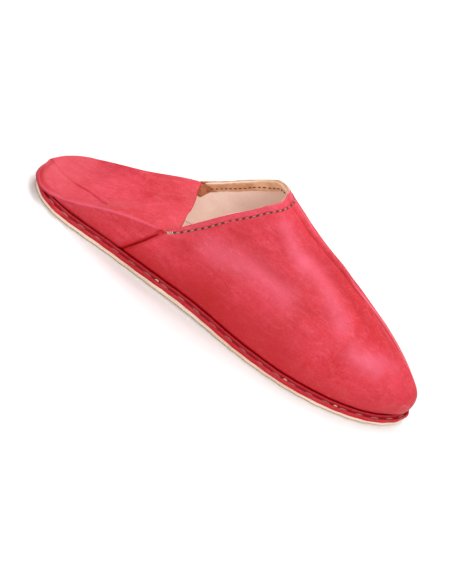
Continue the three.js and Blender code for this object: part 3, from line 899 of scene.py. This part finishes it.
# Napped natural leather of the lining and the insole
def suede(name, light, dark, nap=0.6):
    skin = Finish(name, 0.9, 0.2)
    cloud = skin.spread(skin.noise(22, 5, 0.6, 0.3), 0.32, 0.68)
    speck = skin.spread(skin.noise(1.1, 3, 0.7), 0.35, 0.7)
    color = skin.over(paint(light), cloud, dark)
    color = skin.over(color, skin.share(speck, 0.18), "#a98a68")
    # Brown painted shade where the vertex tone asks for it, inside the toe of the lining
    color = skin.over(color, skin.tone("painted_shade"), "#a9714f")
    skin.shader.inputs["Sheen Weight"].default_value = 0.25
    skin.shader.inputs["Sheen Roughness"].default_value = 0.5
    # The suede glows faintly in its own colour, painted light
    skin.shader.inputs["Emission Color"].default_value = paint(light)
    skin.shader.inputs["Emission Strength"].default_value = PAINTED_GLOW
    normal = skin.bump(skin.noise(nap, 4, 0.7), 0.16, 0.7)
    normal = skin.bump(skin.noise(9, 3), 0.3, 0.4, normal)
    return skin.wear(color, normal)


# Vegetable tanned sole leather, cut by hand, browner along the ground
def sole_leather(name):
    skin = Finish(name, 0.72, 0.3)
    layers = skin.noise(9, 4, 0.6, 0.2, skin.space((0.25, 0.25, 4)))
    color = skin.over(paint("#f3dac6"), skin.spread(layers, 0.32, 0.7), "#e3c0a6")
    level = skin.math("ADD", skin.height(), skin.share(layers, 0.0012))
    ground = skin.spread(level, 0.0009, 0.0021, 1, 0)
    color = skin.over(color, skin.share(ground, 0.75), "#8a6748")
    speck = skin.spread(skin.noise(2.2, 4, 0.7), 0.58, 0.75)
    color = skin.over(color, skin.share(speck, 0.35), "#b98c60")
    normal = skin.bump(skin.noise(1.6, 4, 0.7, 0.3, skin.space((0.5, 0.5, 2.5))), 0.25, 0.7)
    return skin.wear(color, normal)


def plain_leather(name, light, dark, gloss=0.65):
    skin = Finish(name, gloss, 0.35)
    cloud = skin.spread(skin.noise(6, 4, 0.6, 0.3), 0.32, 0.7)
    return skin.wear(skin.over(paint(light), cloud, dark), skin.bump(skin.noise(0.9, 3, 0.7), 0.12, 0.7))


def waxed_thread(name, light, dark):
    skin = Finish(name, 0.6, 0.4)
    twist = skin.noise(0.5, 2, 0.6)
    color = skin.over(paint(light), skin.spread(twist, 0.35, 0.65), dark)
    return skin.wear(color, skin.bump(twist, 0.15, 0.8))


red = red_leather("red_goatskin")
# The welt's darkest red is the colour of its painted shade
welt_red = red_leather("red_welt_leather", "#d41828", "#c20a1a", "#820008", 0.55, 0.2)
lining_suede = suede("cream_suede", "#f7e4d8", "#e8cdbc")
insole_suede = suede("insole_leather", "#f5e0d1", "#e4c8b4", 0.9)
facing_tan = plain_leather("tan_facing_leather", "#e8bc98", "#d09c74")
folded_tan = plain_leather("folded_tan_leather", "#cf8f68", "#a5603f")
cut_edge = plain_leather("cut_leather_edge", "#ecc8a6", "#d0a078", 0.8)
sole_tan = sole_leather("natural_sole_leather")
pale_thread = waxed_thread("pale_thread", "#ead9bd", "#c2a27c")
dark_thread_and_hole_shade = waxed_thread("dark_thread_and_hole_shade", "#5a3524", "#2e160e")
rose_thread = waxed_thread("rose_thread", "#c98a80", "#98484a")


# Bands of painted light and shade along lines of places: how much of it lies on each point
def tone_bands(points, rows):
    total = np.zeros(len(points))
    for row in rows:
        distance, along = near_line(points, smooth_line(vamp_places(row["path"])))
        total += row["strength"] * end_fade(along, 0.2) * bell(distance, row["width"])
    return total


# Painted highlights and painted shade of the vamp, widths in mm
VAMP_PAINTED_HIGHLIGHTS = table(
    "path width strength",
    ([(0.478, 66), (0.5, 71), (0.534, 68), (0.601, 64)], 5, 0.36),
    ([(0.36, 34), (0.433, 34), (0.504, 38), (0.552, 40), (0.63, 40)], 8, 0.34),
    ([(0.56, 62), (0.6, 66), (0.643, 66), (0.699, 60), (0.76, 50)], 7, 0.36),
    ([(0.76, 46), (0.804, 44), (0.842, 46), (0.878, 46)], 6, 0.36),
    ([(0.804, 43), (0.823, 49), (0.866, 60), (0.91, 58)], 5, 0.24),
    (RIDGE_LIP, 1.6, 0.5),
)
# Painted shade along the ridge crease, the troughs, the seam foot, low on the near side and in the wrinkles
VAMP_PAINTED_SHADE = table(
    "path width strength",
    (RIDGE_LINE, 0.8, 1.3),
    ([(0.4, 56), (0.428, 50), (0.47, 45), (0.52, 44), (0.61, 48)], 3.2, 0.3),
    ([(0.56, 78), (0.62, 78), (0.71, 77), (0.813, 75)], 4, 0.3),
    ([(0.335, 30), (0.345, 24), (0.35, 16)], 9, 0.4),
    ([(0.348, 10), (0.418, 12), (0.494, 14), (0.57, 18), (0.65, 19), (0.729, 18)], 11, 0.5),
    *((path, 0.8, 0.22) for path in VAMP_WRINKLES),
)


# Vamp: red shell, lining inside it and the facing strip along the collar
vamp_points, vamp_quads = vamp_skin(side_steps=170, toe_steps=66, turn_steps=84, tuck_steps=8)
vamp_normals = point_normals(vamp_points, vamp_quads)
shell_points, shell_faces, rim_count = thicken(vamp_points, vamp_quads, SHELL)
collar_away, _ = near_line(shell_points, collar_edge)

# Painted highlight along the collar's edge; painted shade towards the welt, by the side seam, under the
# stitches
painted_highlight = tone_bands(shell_points, VAMP_PAINTED_HIGHLIGHTS) + 0.16 * (1 - ease((collar_away - STITCH_DEPTH + 1) / 2))
painted_shade = tone_bands(shell_points, VAMP_PAINTED_SHADE) + 0.65 * (1 - ease((shell_points[:, 2] - 7) / 22))
painted_shade += 0.6 * (1 - ease((shell_points[:, 2] - 6.4) / 2.6))
painted_shade += 0.5 * bell(near_line(laid_near(shell_points), seam_edge)[0], 1.1)
painted_shade += 0.35 * bell(near_line(shell_points, stitch_line)[0], 0.8)

# The cut edge of the leather shows along the far side of the collar, and on the near side it is dyed
kinds = np.zeros(len(shell_faces), int)
rim_middle = shell_points[shell_faces[-rim_count:]].mean(1)
part_of_rim = np.arange(rim_count) % RIM_STEPS
on_collar = near_line(rim_middle, collar_edge)[0] < 3
shows = (rim_middle[:, 1] > 0) & (part_of_rim >= 1)
kinds[-rim_count:] = on_collar & shows
add_piece(
    "vamp_shell", shell_points, shell_faces, [red, cut_edge], ["upper_vamp"],
    face_material=kinds, tones={"painted_highlight": painted_highlight, "painted_shade": painted_shade},
)

# The lining stops short of the side seams, and painted shade darkens it inside the toe
LINING_BACK = 3.2
lining_points, lining_quads = vamp_skin(side_steps=84, toe_steps=30, turn_steps=40, tuck_steps=3)
lining_points = inset_skin(lining_points, lining_quads, SHELL + 0.1)
both_seams = on_both_sides(seam_edge[:34])
from_seam = np.min(np.linalg.norm(lining_points[:, None] - both_seams[None], axis=2), axis=1)
lining_points[:, 0] += LINING_BACK * (1 - ease((from_seam - 2) / 9))
body, faces, _ = thicken(lining_points, lining_quads, LINING)
painted_shade = 0.8 * ease((body[:, 0] - THROAT_X + 34) / 36)
add_piece("vamp_lining", body, faces, [lining_suede], ["upper_vamp"], tones={"painted_shade": painted_shade})


# A strip of even width below the collar, from one side seam over the throat to the other
def facing_skin(columns, rows):
    turns = SEAM_TURN + 1 + (90 - SEAM_TURN - 1) * np.linspace(0, 1, rows + 1)
    width = FACING_WIDTH / (FAN_X - THROAT_X)
    share = np.linspace(0.06, 1, columns + 1)[:, None] * width
    sheet = vamp_at(share, turns[None, :])
    sheet[:, -1, 1] = 0
    points, quads = join_halves(sheet, sheet, closed=False, flip=False)
    normals = point_normals(points, quads)
    push = vamp_waves(points)
    from_back = points[:, 0] - points[:, 0].min()
    push += FACING_WAVES * waves(points, seed=31, count=6, shortest=5, longest=14) * ease(from_back / 8)
    return points + normals * push[:, None], quads


facing_points, facing_quads = facing_skin(columns=10, rows=90)
facing_points = inset_skin(facing_points, facing_quads, SHELL + LINING + 0.14)
body, faces, _ = thicken(facing_points, facing_quads, FACING)
add_piece("collar_lining_strip", body, faces, [facing_tan], ["collar_facing"])


# Where the strip ends at each side seam its leather is folded under in a small thick pad
PAD_POINTS = 15


def folded_end(side):
    turns = np.linspace(19.5, 31, PAD_POINTS)
    shares = np.linspace(0.004, 0.075, PAD_POINTS)
    points = vamp_at(shares[:, None], turns[None, :]).reshape(-1, 3)
    quads = grid_quads(np.arange(len(points)).reshape(PAD_POINTS, PAD_POINTS))
    u = np.linspace(-1, 1, PAD_POINTS)[:, None]
    v = np.linspace(-1, 1, PAD_POINTS)[None, :]
    dome = ((1 - u**4) * (1 - v**4)).reshape(-1) * (1.1 + 0.35 * np.cos(5 * (u + v)).reshape(-1))
    points = inset_skin(points, quads, SHELL + LINING + 0.1 + dome[:, None])
    if side < 0:
        quads = quads[:, ::-1]
    return thicken(points * [1, side, 1], quads, 0.7)[:2]


for label, side in (("near", 1), ("far", -1)):
    body, faces = folded_end(side)
    add_piece("folded_strip_end_" + label, body, faces, [folded_tan])


# Places of a line on a skin, with the skin's outward directions there
def seat_on(points, skin, normals):
    nearest = [int(np.argmin(np.sum((skin - point) ** 2, axis=1))) for point in points]
    away = normals[nearest]
    above = np.sum((points - skin[nearest]) * away, axis=1, keepdims=True)
    return points - above * away, away


# A line cut into even steps
def even_steps(line, pitch):
    far = np.concatenate([[0], np.cumsum(np.linalg.norm(np.diff(line, axis=0), axis=1))])
    at = np.linspace(0, far[-1], round(far[-1] / pitch) + 1)
    return np.stack([np.interp(at, far, line[:, i]) for i in range(3)], -1)


# Stitches between pairs of places, arched over a surface and joined into one mesh
def stitches(starts, ends, ups, width, arch, flat=1.0, sunk=0.0, rings=9, sides=8):
    t = np.linspace(0, 1, rings)
    bow = np.sin(math.pi * t)
    full = np.maximum(bow, 0.02) ** 0.4
    ahead = unit(ends - starts)
    ups = unit(ups - np.sum(ups * ahead, axis=1, keepdims=True) * ahead)
    aside = np.cross(ahead, ups)
    angle = np.linspace(0, 2 * math.pi, sides, endpoint=False)
    middle = starts[:, None] + (ends - starts)[:, None] * t[None, :, None]
    middle = middle + ups[:, None] * (arch * bow - sunk)[None, :, None]
    ring_at = aside[:, None, None] * np.cos(angle)[None, None, :, None]
    ring_at = ring_at + ups[:, None, None] * flat * np.sin(angle)[None, None, :, None]
    points = middle[:, :, None] + ring_at * (width / 2 * full)[None, :, None, None]
    index = np.arange(len(starts) * rings * sides).reshape(len(starts), rings, sides)
    turned = np.roll(index, -1, 2)
    sheets = np.stack([index[:, :-1], turned[:, :-1], turned[:, 1:], index[:, 1:]], -1)
    faces = sheets.reshape(-1, 4).tolist()
    faces += index[:, 0, ::-1].tolist()
    faces += index[:, -1].tolist()
    return points.reshape(-1, 3), faces


def sew(name, thread, slot, starts, ends, ups, **shape):
    points, faces = stitches(starts, ends, ups, **shape)
    add_piece(name, points, faces, [thread])


# Split a run of places into dashes; each covers part of its step
def dashes(places, ups, part, shift=0.5):
    step = places[1:] - places[:-1]
    middle = places[:-1] + step * shift
    return middle - step * part / 2, middle + step * part / 2, unit(ups[:-1] + ups[1:])


# Seam along the collar: pale thread between needle holes drawn as dark discs of painted shade
COLLAR_PITCH = 3.9
FACING_PITCH = 3.4
collar_places, collar_ups = seat_on(even_steps(stitch_line, COLLAR_PITCH), vamp_points, vamp_normals)
collar_dashes = dashes(collar_places, collar_ups, 0.52)
sew("collar_stitches", rose_thread, "vamp_leather", *collar_dashes, width=0.75, arch=0.25)
hole_starts, hole_ends, hole_ups = dashes(collar_places, collar_ups, 0.5, 0)
lean = unit(np.cross(hole_ups, hole_ends - hole_starts)) * 0.3
hole_starts = hole_starts - lean
hole_ends = hole_ends + lean
hole_shape = dict(width=1.2, arch=0.15, flat=0.2)
# The dark discs at the holes are painted shade
sew("collar_stitch_hole_shade", dark_thread_and_hole_shade, "vamp_leather", hole_starts, hole_ends, hole_ups, **hole_shape)

# Short tight stitches that hold both seam tops
knot_places, knot_ups = seat_on(on_both_sides(stitch_line[:4]), vamp_points, vamp_normals)
KNOT_SLANT = np.array([0.9, 0, -0.7])
knots = (knot_places - KNOT_SLANT, knot_places + KNOT_SLANT, knot_ups)
sew("seam_top_stitches", pale_thread, "vamp_leather", *knots, width=0.45, arch=0.25, sunk=0.1)

# The same seam inside, on the facing strip
facing_normals = point_normals(facing_points, facing_quads)
inside_line = even_steps(below_collar(lambda turns: FACING_STITCH_DEPTH, 30), FACING_PITCH)
inside_places, inside_ups = seat_on(inside_line, facing_points - facing_normals * FACING, -facing_normals)
inside_dashes = dashes(inside_places, inside_ups, 0.66)
sew("facing_stitches", dark_thread_and_hole_shade, "facing_leather", *inside_dashes, width=0.7, arch=0.15)


# Heel: wall, rolled fold and flap in one leather
near_heel = heel_half("near")
heel_points, heel_quads = join_halves(near_heel, heel_half("far"), closed=True, flip=True)
heel_normals = point_normals(heel_points, heel_quads)
fold_line = near_heel[:, WALL_STEPS + FOLD_STEPS // 2]
seam_line = near_heel[0, :WALL_STEPS]

# Creases of the flap in millimetres from the heel and from the middle line; height and width in mm
FLAP_CREASES = table(
    "path width height",
    ([(-2, 3.4), (6, 0), (12.5, -2.6), (19.5, -4.6)], 0.8, -0.16),
    ([(13, -2.8), (19.2, -4.7), (27.3, -6.8), (37.1, -12.8), (47.4, -26)], 0.6, -0.45),
    ([(14, -1.2), (20, -3.1), (28, -5.2), (38, -11), (48.5, -24)], 1.2, 0.2),
    ([(30, -4.5), (34.3, -6.8), (43.8, -13.2), (48, -17)], 0.7, -0.16),
    ([(60, 17), (68, 8), (80, 2)], 4, -0.5),
    ([(30, 22), (44, 16), (60, 8), (72, -4)], 7, 0.6),
)
heel_push = waves(heel_points, seed=21, count=8, shortest=20, longest=60) * HEEL_WAVES
flap_crease_shade = np.zeros(len(heel_points))
flap_plan = heel_points * [1, 1, 0]
above = heel_normals[:, 2] > 0.35
for crease in FLAP_CREASES:
    line = smooth_line([(x, y, 0) for x, y in crease["path"]])
    distance, along = near_line(flap_plan, line)
    taper = end_fade(along) * above
    shape = bell(distance, crease["width"])
    heel_push += crease["height"] * taper * shape
    # Narrow troughs of the flap get painted shade
    if crease["height"] < 0:
        flap_crease_shade += 1.3 * abs(crease["height"]) * taper * shape * (crease["width"] < 1.5)
heel_points = heel_points + heel_normals * heel_push[:, None]
body, faces, _ = thicken(heel_points, heel_quads, HEEL_LEATHER)

# Painted shade by the side seam, low on the wall and beside the rolled fold; painted highlight on the fold's
# crest
fold_away, _ = near_line(body, fold_line)
seam_away, _ = near_line(body, seam_line)
painted_shade = on_body(flap_crease_shade, body) + 0.5 * bell(seam_away, 5) + 0.35 * (1 - ease((body[:, 2] - 7) / 10))
painted_shade += 0.8 * bell(seam_away - 2.2, 0.8)
on_wall = on_body(np.abs(heel_normals[:, 2]) < 0.4, body)
painted_shade += 0.22 * on_wall * (1 - ease((body[:, 0] - 45) / 20))
painted_shade += 0.6 * (1 - ease((body[:, 2] - 6.2) / 1.2))
shade_behind_fold = bell(fold_away - 2.6, 1.3) * (1 - ease((body[:, 0] - 6) / 22))
painted_shade += 0.55 * shade_behind_fold * on_body(above, body)
painted_highlight = 0.5 * bell(fold_away, 0.75) + 0.2 * (1 - ease((body[:, 0] - 10) / 50))
add_piece(
    "heel_quarter", body, faces, [red], ["upper_heel"],
    tones={"painted_highlight": painted_highlight, "painted_shade": painted_shade},
)


# Rings round the whole outline, near side first from the heel to the toe and back
RING_STEPS = 760
ring_turns = np.linspace(0, 2 * math.pi, RING_STEPS, endpoint=False)
half_turns = np.where(ring_turns > math.pi, 2 * math.pi - ring_turns, ring_turns)
ring_side = np.where(ring_turns > math.pi, 1.0, -1.0)
edge_x, edge_y = outline_point(half_turns, 0)
edge_steps = np.hypot(np.diff(edge_x, append=edge_x[:1]), np.diff(edge_y * ring_side, append=0))
RING_LENGTH = float(edge_steps.sum())
ring_far = np.concatenate([[0], np.cumsum(edge_steps)[:-1]])


# A ring inside the outline, lifted with the underside
def ring(inset, height):
    x, y = outline_point(half_turns, inset)
    return np.stack([x, ring_side * y, height + rise(x)], -1)


# Faces between rings, and from the last to the first where closed
def band_faces(rings, closed):
    index = np.arange(rings * RING_STEPS).reshape(rings, RING_STEPS)
    index = np.concatenate([index, index[:, :1]], 1)
    if closed:
        index = np.concatenate([index, index[:1]])
    return np.stack([index[:-1, :-1], index[:-1, 1:], index[1:, 1:], index[1:, :-1]], -1).reshape(-1, 4)


# Rungs from the near to the far side that close a ring
def cap_faces(start, upward):
    faces = []
    for j in range(RING_STEPS // 2):
        far = start + (RING_STEPS - j) % RING_STEPS
        far_next = start + RING_STEPS - j - 1
        face = list(dict.fromkeys([start + j, start + j + 1, far_next, far]))
        faces.append(face if upward else face[::-1])
    return faces


# A solid of rings stacked from the bottom up, closed at both ends
def add_stack(name, rings, material, node):
    faces = band_faces(len(rings), False).tolist()
    faces += cap_faces(0, False)
    faces += cap_faces(RING_STEPS * (len(rings) - 1), True)
    add_piece(name, np.concatenate(rings), faces, [material], [node])


# Long stitches draw the welt in at each hole, so its edge swells between them;
# a whole number of them goes round
WELT_PITCH = 11.6
STITCH_PITCH = RING_LENGTH / round(RING_LENGTH / WELT_PITCH)
swell = 0.5 - 0.5 * np.cos(2 * math.pi * ring_far / STITCH_PITCH)
VALLEY_INSET = 1.75

# Section of the welt: up the outer edge, through the valley, over the lip, in to the foot and back below
WELT_SECTION = table(
    "inset height swell sink",
    (0.5, WELT_BASE - 1.15, 0, 0),
    (0.05, WELT_BASE - 1.25, 0.3, 0.1),
    (-0.1, WELT_BASE - 0.8, 0.5, 0.1),
    (0, WELT_BASE - 0.1, 0.8, 0.15),
    (0.15, WELT_BASE + 0.5, 0.9, 0.25),
    (0.5, WELT_TOP - 0.1, 0.75, 0.45),
    (0.95, WELT_TOP - 0.15, 0.4, 0.6),
    (1.4, WELT_TOP - 0.75, 0, 0.4),
    (VALLEY_INSET, WELT_TOP - 1.1, 0, 0.1),
    (2.05, WELT_TOP - 0.6, 0, 0),
    (2.3, WELT_TOP + 0.3, 0, 0),
    (2.55, LIP_TOP - 0.25, 0.15, 0.1),
    (2.9, LIP_TOP + 0.05, 0.15, 0.2),
    (3.25, LIP_TOP - 0.2, 0, 0.1),
    (3.6, WELT_TOP, 0, 0),
    (6, WELT_TOP, 0, 0),
    (WELT_INNER, WELT_TOP, 0, 0),
    (WELT_INNER, WELT_BASE, 0, 0),
    (5, WELT_BASE, 0, 0),
    (1.2, WELT_BASE, 0, 0),
)


# Slow wandering round the outline, about 1 either way
def wander(seed, shortest, longest):
    return waves(ring(0, 0), seed, 8, shortest, longest)


edge_wander = wander(3, 14, 50)
height_wander = wander(5, 10, 30)
welt_insets = column_of(WELT_SECTION, "inset")
rings = []
for row in WELT_SECTION:
    inset = row["inset"] - row["swell"] * (swell - 0.6) - 0.12 * edge_wander * (row["inset"] < 1)
    height = row["height"] - row["sink"] * (1 - swell) + 0.09 * height_wander * (row["height"] > WELT_BASE)
    rings.append(ring(inset, height))
welt_points = np.concatenate(rings)
welt_faces = band_faces(len(rings), True)
# Painted shade over the whole welt, most in its valley and under the upper; painted highlight on its crests
valley = bell(welt_insets - VALLEY_INSET, 0.55) + ease((welt_insets - 3.1) / 0.5)
crests = bell(welt_insets - 0.5, 0.4) + bell(welt_insets - 2.8, 0.3)
add_piece(
    "stitched_welt", welt_points, welt_faces, [welt_red], ["welt"],
    tones={
        "painted_highlight": np.repeat(0.1 * crests, RING_STEPS),
        "painted_shade": np.repeat(0.4 + 0.6 * np.clip(valley, 0, 1) - 0.3 * crests, RING_STEPS),
    },
)

# Long stitches lie in the valley of the welt, each from one hole to the next
valley_line = ring(VALLEY_INSET, WELT_TOP - 0.95)
hole_far = np.arange(0, RING_LENGTH, STITCH_PITCH)
stitch_span = STITCH_PITCH * 0.52


# Places on a ring at distances round the outline
def on_ring(line, far):
    closed = np.concatenate([line, line[:1]])
    at = np.concatenate([ring_far, [RING_LENGTH]])
    return np.stack([np.interp(far % RING_LENGTH, at, closed[:, i]) for i in range(3)], -1)


random = np.random.default_rng(17)
shift = random.uniform(-0.6, 0.6, len(hole_far))
starts = on_ring(valley_line, hole_far + shift - stitch_span / 2)
ends = on_ring(valley_line, hole_far + shift + stitch_span / 2)
ups = np.tile([0.0, 0.0, 1.0], (len(starts), 1))
sew("welt_stitches", rose_thread, "welt_leather", starts, ends, ups, width=0.75, arch=0.4, sunk=0.15)

# At some holes a pale thread end shows, from and to these distances past the hole
END_FROM = 4.8
END_TO = 7.6
with_end = np.array([9, 17, 20, 33, 41, 48])
starts = on_ring(valley_line, hole_far[with_end] + END_FROM)
ends = on_ring(valley_line, hole_far[with_end] + END_TO)
end_shape = dict(width=1.0, arch=0.2, sunk=-0.35)
sew("welt_thread_ends", pale_thread, "welt_leather", starts, ends, ups[with_end], **end_shape)

# Sole, from the ground up, with the ripples of an edge that was cut by hand
OUTSOLE_ROWS = table(
    "inset height ripple",
    (2.6, 0, 0.2),
    (1.3, 0.02, 0.5),
    (0.7, 0.25, 0.8),
    (0.35, 0.7, 1),
    (0.2, 1.3, 1),
    (0.15, 2.1, 1),
    (0.2, 2.8, 1),
    (0.7, 3.2, 0.8),
    (1.4, SOLE_THICKNESS - 0.6, 0.4),
    (3, SOLE_THICKNESS - 0.2, 0),
)
cut_wander = wander(11, 12, 46)
rings = []
for row in OUTSOLE_ROWS:
    inset = row["inset"] - 0.3 * cut_wander * row["ripple"] - 0.25 * (swell - 0.5) * row["ripple"]
    rings.append(ring(inset, row["height"]))
add_stack("cut_outsole", rings, sole_tan, "outsole")

# Insole, which fills the welt's ring and steps out over it
INSOLE_ROWS = table(
    "inset height",
    (WELT_INNER + SEAT_GAP, WELT_BASE),
    (WELT_INNER + SEAT_GAP, FOOT_BASE),
    (INSOLE_INSET, FOOT_BASE),
    (INSOLE_INSET, INSOLE_TOP - 0.3),
    (INSOLE_INSET + 0.5, INSOLE_TOP),
)
rings = [ring(row["inset"], row["height"]) for row in INSOLE_ROWS]
add_stack("soft_insole", rings, insole_suede, "insole")


# Camera: the photograph's angle to the shoe, in degrees, and where the shoe's centre lies in the photograph
CAMERA_TURN = 3.6
CAMERA_HEIGHT = 37.5
CAMERA_ROLL = 36.6
CAMERA_DISTANCE = 0.6233
PHOTO_FOCUS = 897.0
IMAGE_WIDTH = 452
IMAGE_HEIGHT = 584
CENTRE_IN_PHOTO = (292.8, 256.1)
CENTRE_OF_SHOE = Vector((0, -SIDE_CENTRE / 1000, 0.025))

# From the same spot the camera is turned to the middle of the one shoe and draws it larger
AIM_IN_PHOTO = (274, 277)
ENLARGED = 1.18


# The camera looks from where the photograph was taken, with its roll and without shift
def place_camera():
    turn = math.radians(CAMERA_TURN)
    height = math.radians(CAMERA_HEIGHT)
    roll = math.radians(CAMERA_ROLL)
    ahead = Vector((math.sin(turn) * math.cos(height), math.cos(turn) * math.cos(height), -math.sin(height)))
    right = Vector((math.cos(turn), -math.sin(turn), 0))
    up = right.cross(ahead)
    across = math.cos(roll) * right + math.sin(roll) * up
    upward = -math.sin(roll) * right + math.cos(roll) * up
    aside = (CENTRE_IN_PHOTO[0] - IMAGE_WIDTH / 2) * CAMERA_DISTANCE / PHOTO_FOCUS
    below = (CENTRE_IN_PHOTO[1] - IMAGE_HEIGHT / 2) * CAMERA_DISTANCE / PHOTO_FOCUS
    eye = CENTRE_OF_SHOE - ahead * CAMERA_DISTANCE - across * aside + upward * below
    aim = ahead * PHOTO_FOCUS
    aim += across * (AIM_IN_PHOTO[0] - IMAGE_WIDTH / 2) - upward * (AIM_IN_PHOTO[1] - IMAGE_HEIGHT / 2)
    aim.normalize()
    across = (across - aim * across.dot(aim)).normalized()
    upward = across.cross(aim)
    data = bpy.data.cameras.new("camera")
    data.sensor_width = 36
    data.lens = PHOTO_FOCUS * ENLARGED * data.sensor_width / IMAGE_HEIGHT
    data.clip_start = 0.02
    camera = bpy.data.objects.new("camera", data)
    bpy.context.scene.collection.objects.link(camera)
    axes = Matrix((across, upward, -aim)).transposed()
    camera.matrix_world = Matrix.Translation(eye) @ axes.to_4x4()
    bpy.context.scene.camera = camera


place_camera()


# Soft boxes round the shoe: turn from the front towards the toe, height over the floor, both in degrees
LIGHTS = table(
    "name turn height away size power",
    ("key", 56, 56, 1.2, 1.4, 7),
    ("front", -8, 30, 1.2, 0.9, 5),
    ("back", 186, 60, 1.2, 0.8, 11.5),
)
LIGHTS_AIM = Vector((0, 0, 0.02))


def add_light(name, turn, height, away, size, power):
    turn = math.radians(turn)
    height = math.radians(height)
    toward = Vector((math.sin(turn) * math.cos(height), -math.cos(turn) * math.cos(height), math.sin(height)))
    data = bpy.data.lights.new(name, "AREA")
    data.shape = "RECTANGLE"
    data.size = size
    data.size_y = size
    data.energy = power
    light = bpy.data.objects.new(name, data)
    light.location = toward * away
    light.rotation_euler = (LIGHTS_AIM - light.location).to_track_quat("-Z", "Y").to_euler()
    bpy.context.scene.collection.objects.link(light)


for row in LIGHTS:
    add_light(**row)

# Even white surroundings and a pale floor
world = bpy.data.worlds.new("studio")
world.use_nodes = True
world.node_tree.nodes["Background"].inputs["Color"].default_value = (1, 1, 1, 1)
world.node_tree.nodes["Background"].inputs["Strength"].default_value = 0.45
bpy.context.scene.world = world
bpy.context.scene.view_settings.view_transform = "Standard"

FLOOR_REACH = 3.0
floor_corners = [(x * FLOOR_REACH, y * FLOOR_REACH, 0) for x, y in ((-1, -1), (1, -1), (1, 1), (-1, 1))]
floor_mesh = bpy.data.meshes.new("floor")
floor_mesh.from_pydata(floor_corners, [], [(0, 1, 2, 3)])
floor = bpy.data.objects.new("floor", floor_mesh)
bpy.context.scene.collection.objects.link(floor)
floor_finish = Finish("white_floor", 0.9, 0.2)
floor_mesh.materials.append(floor_finish.wear(paint("#f4f3f2")))
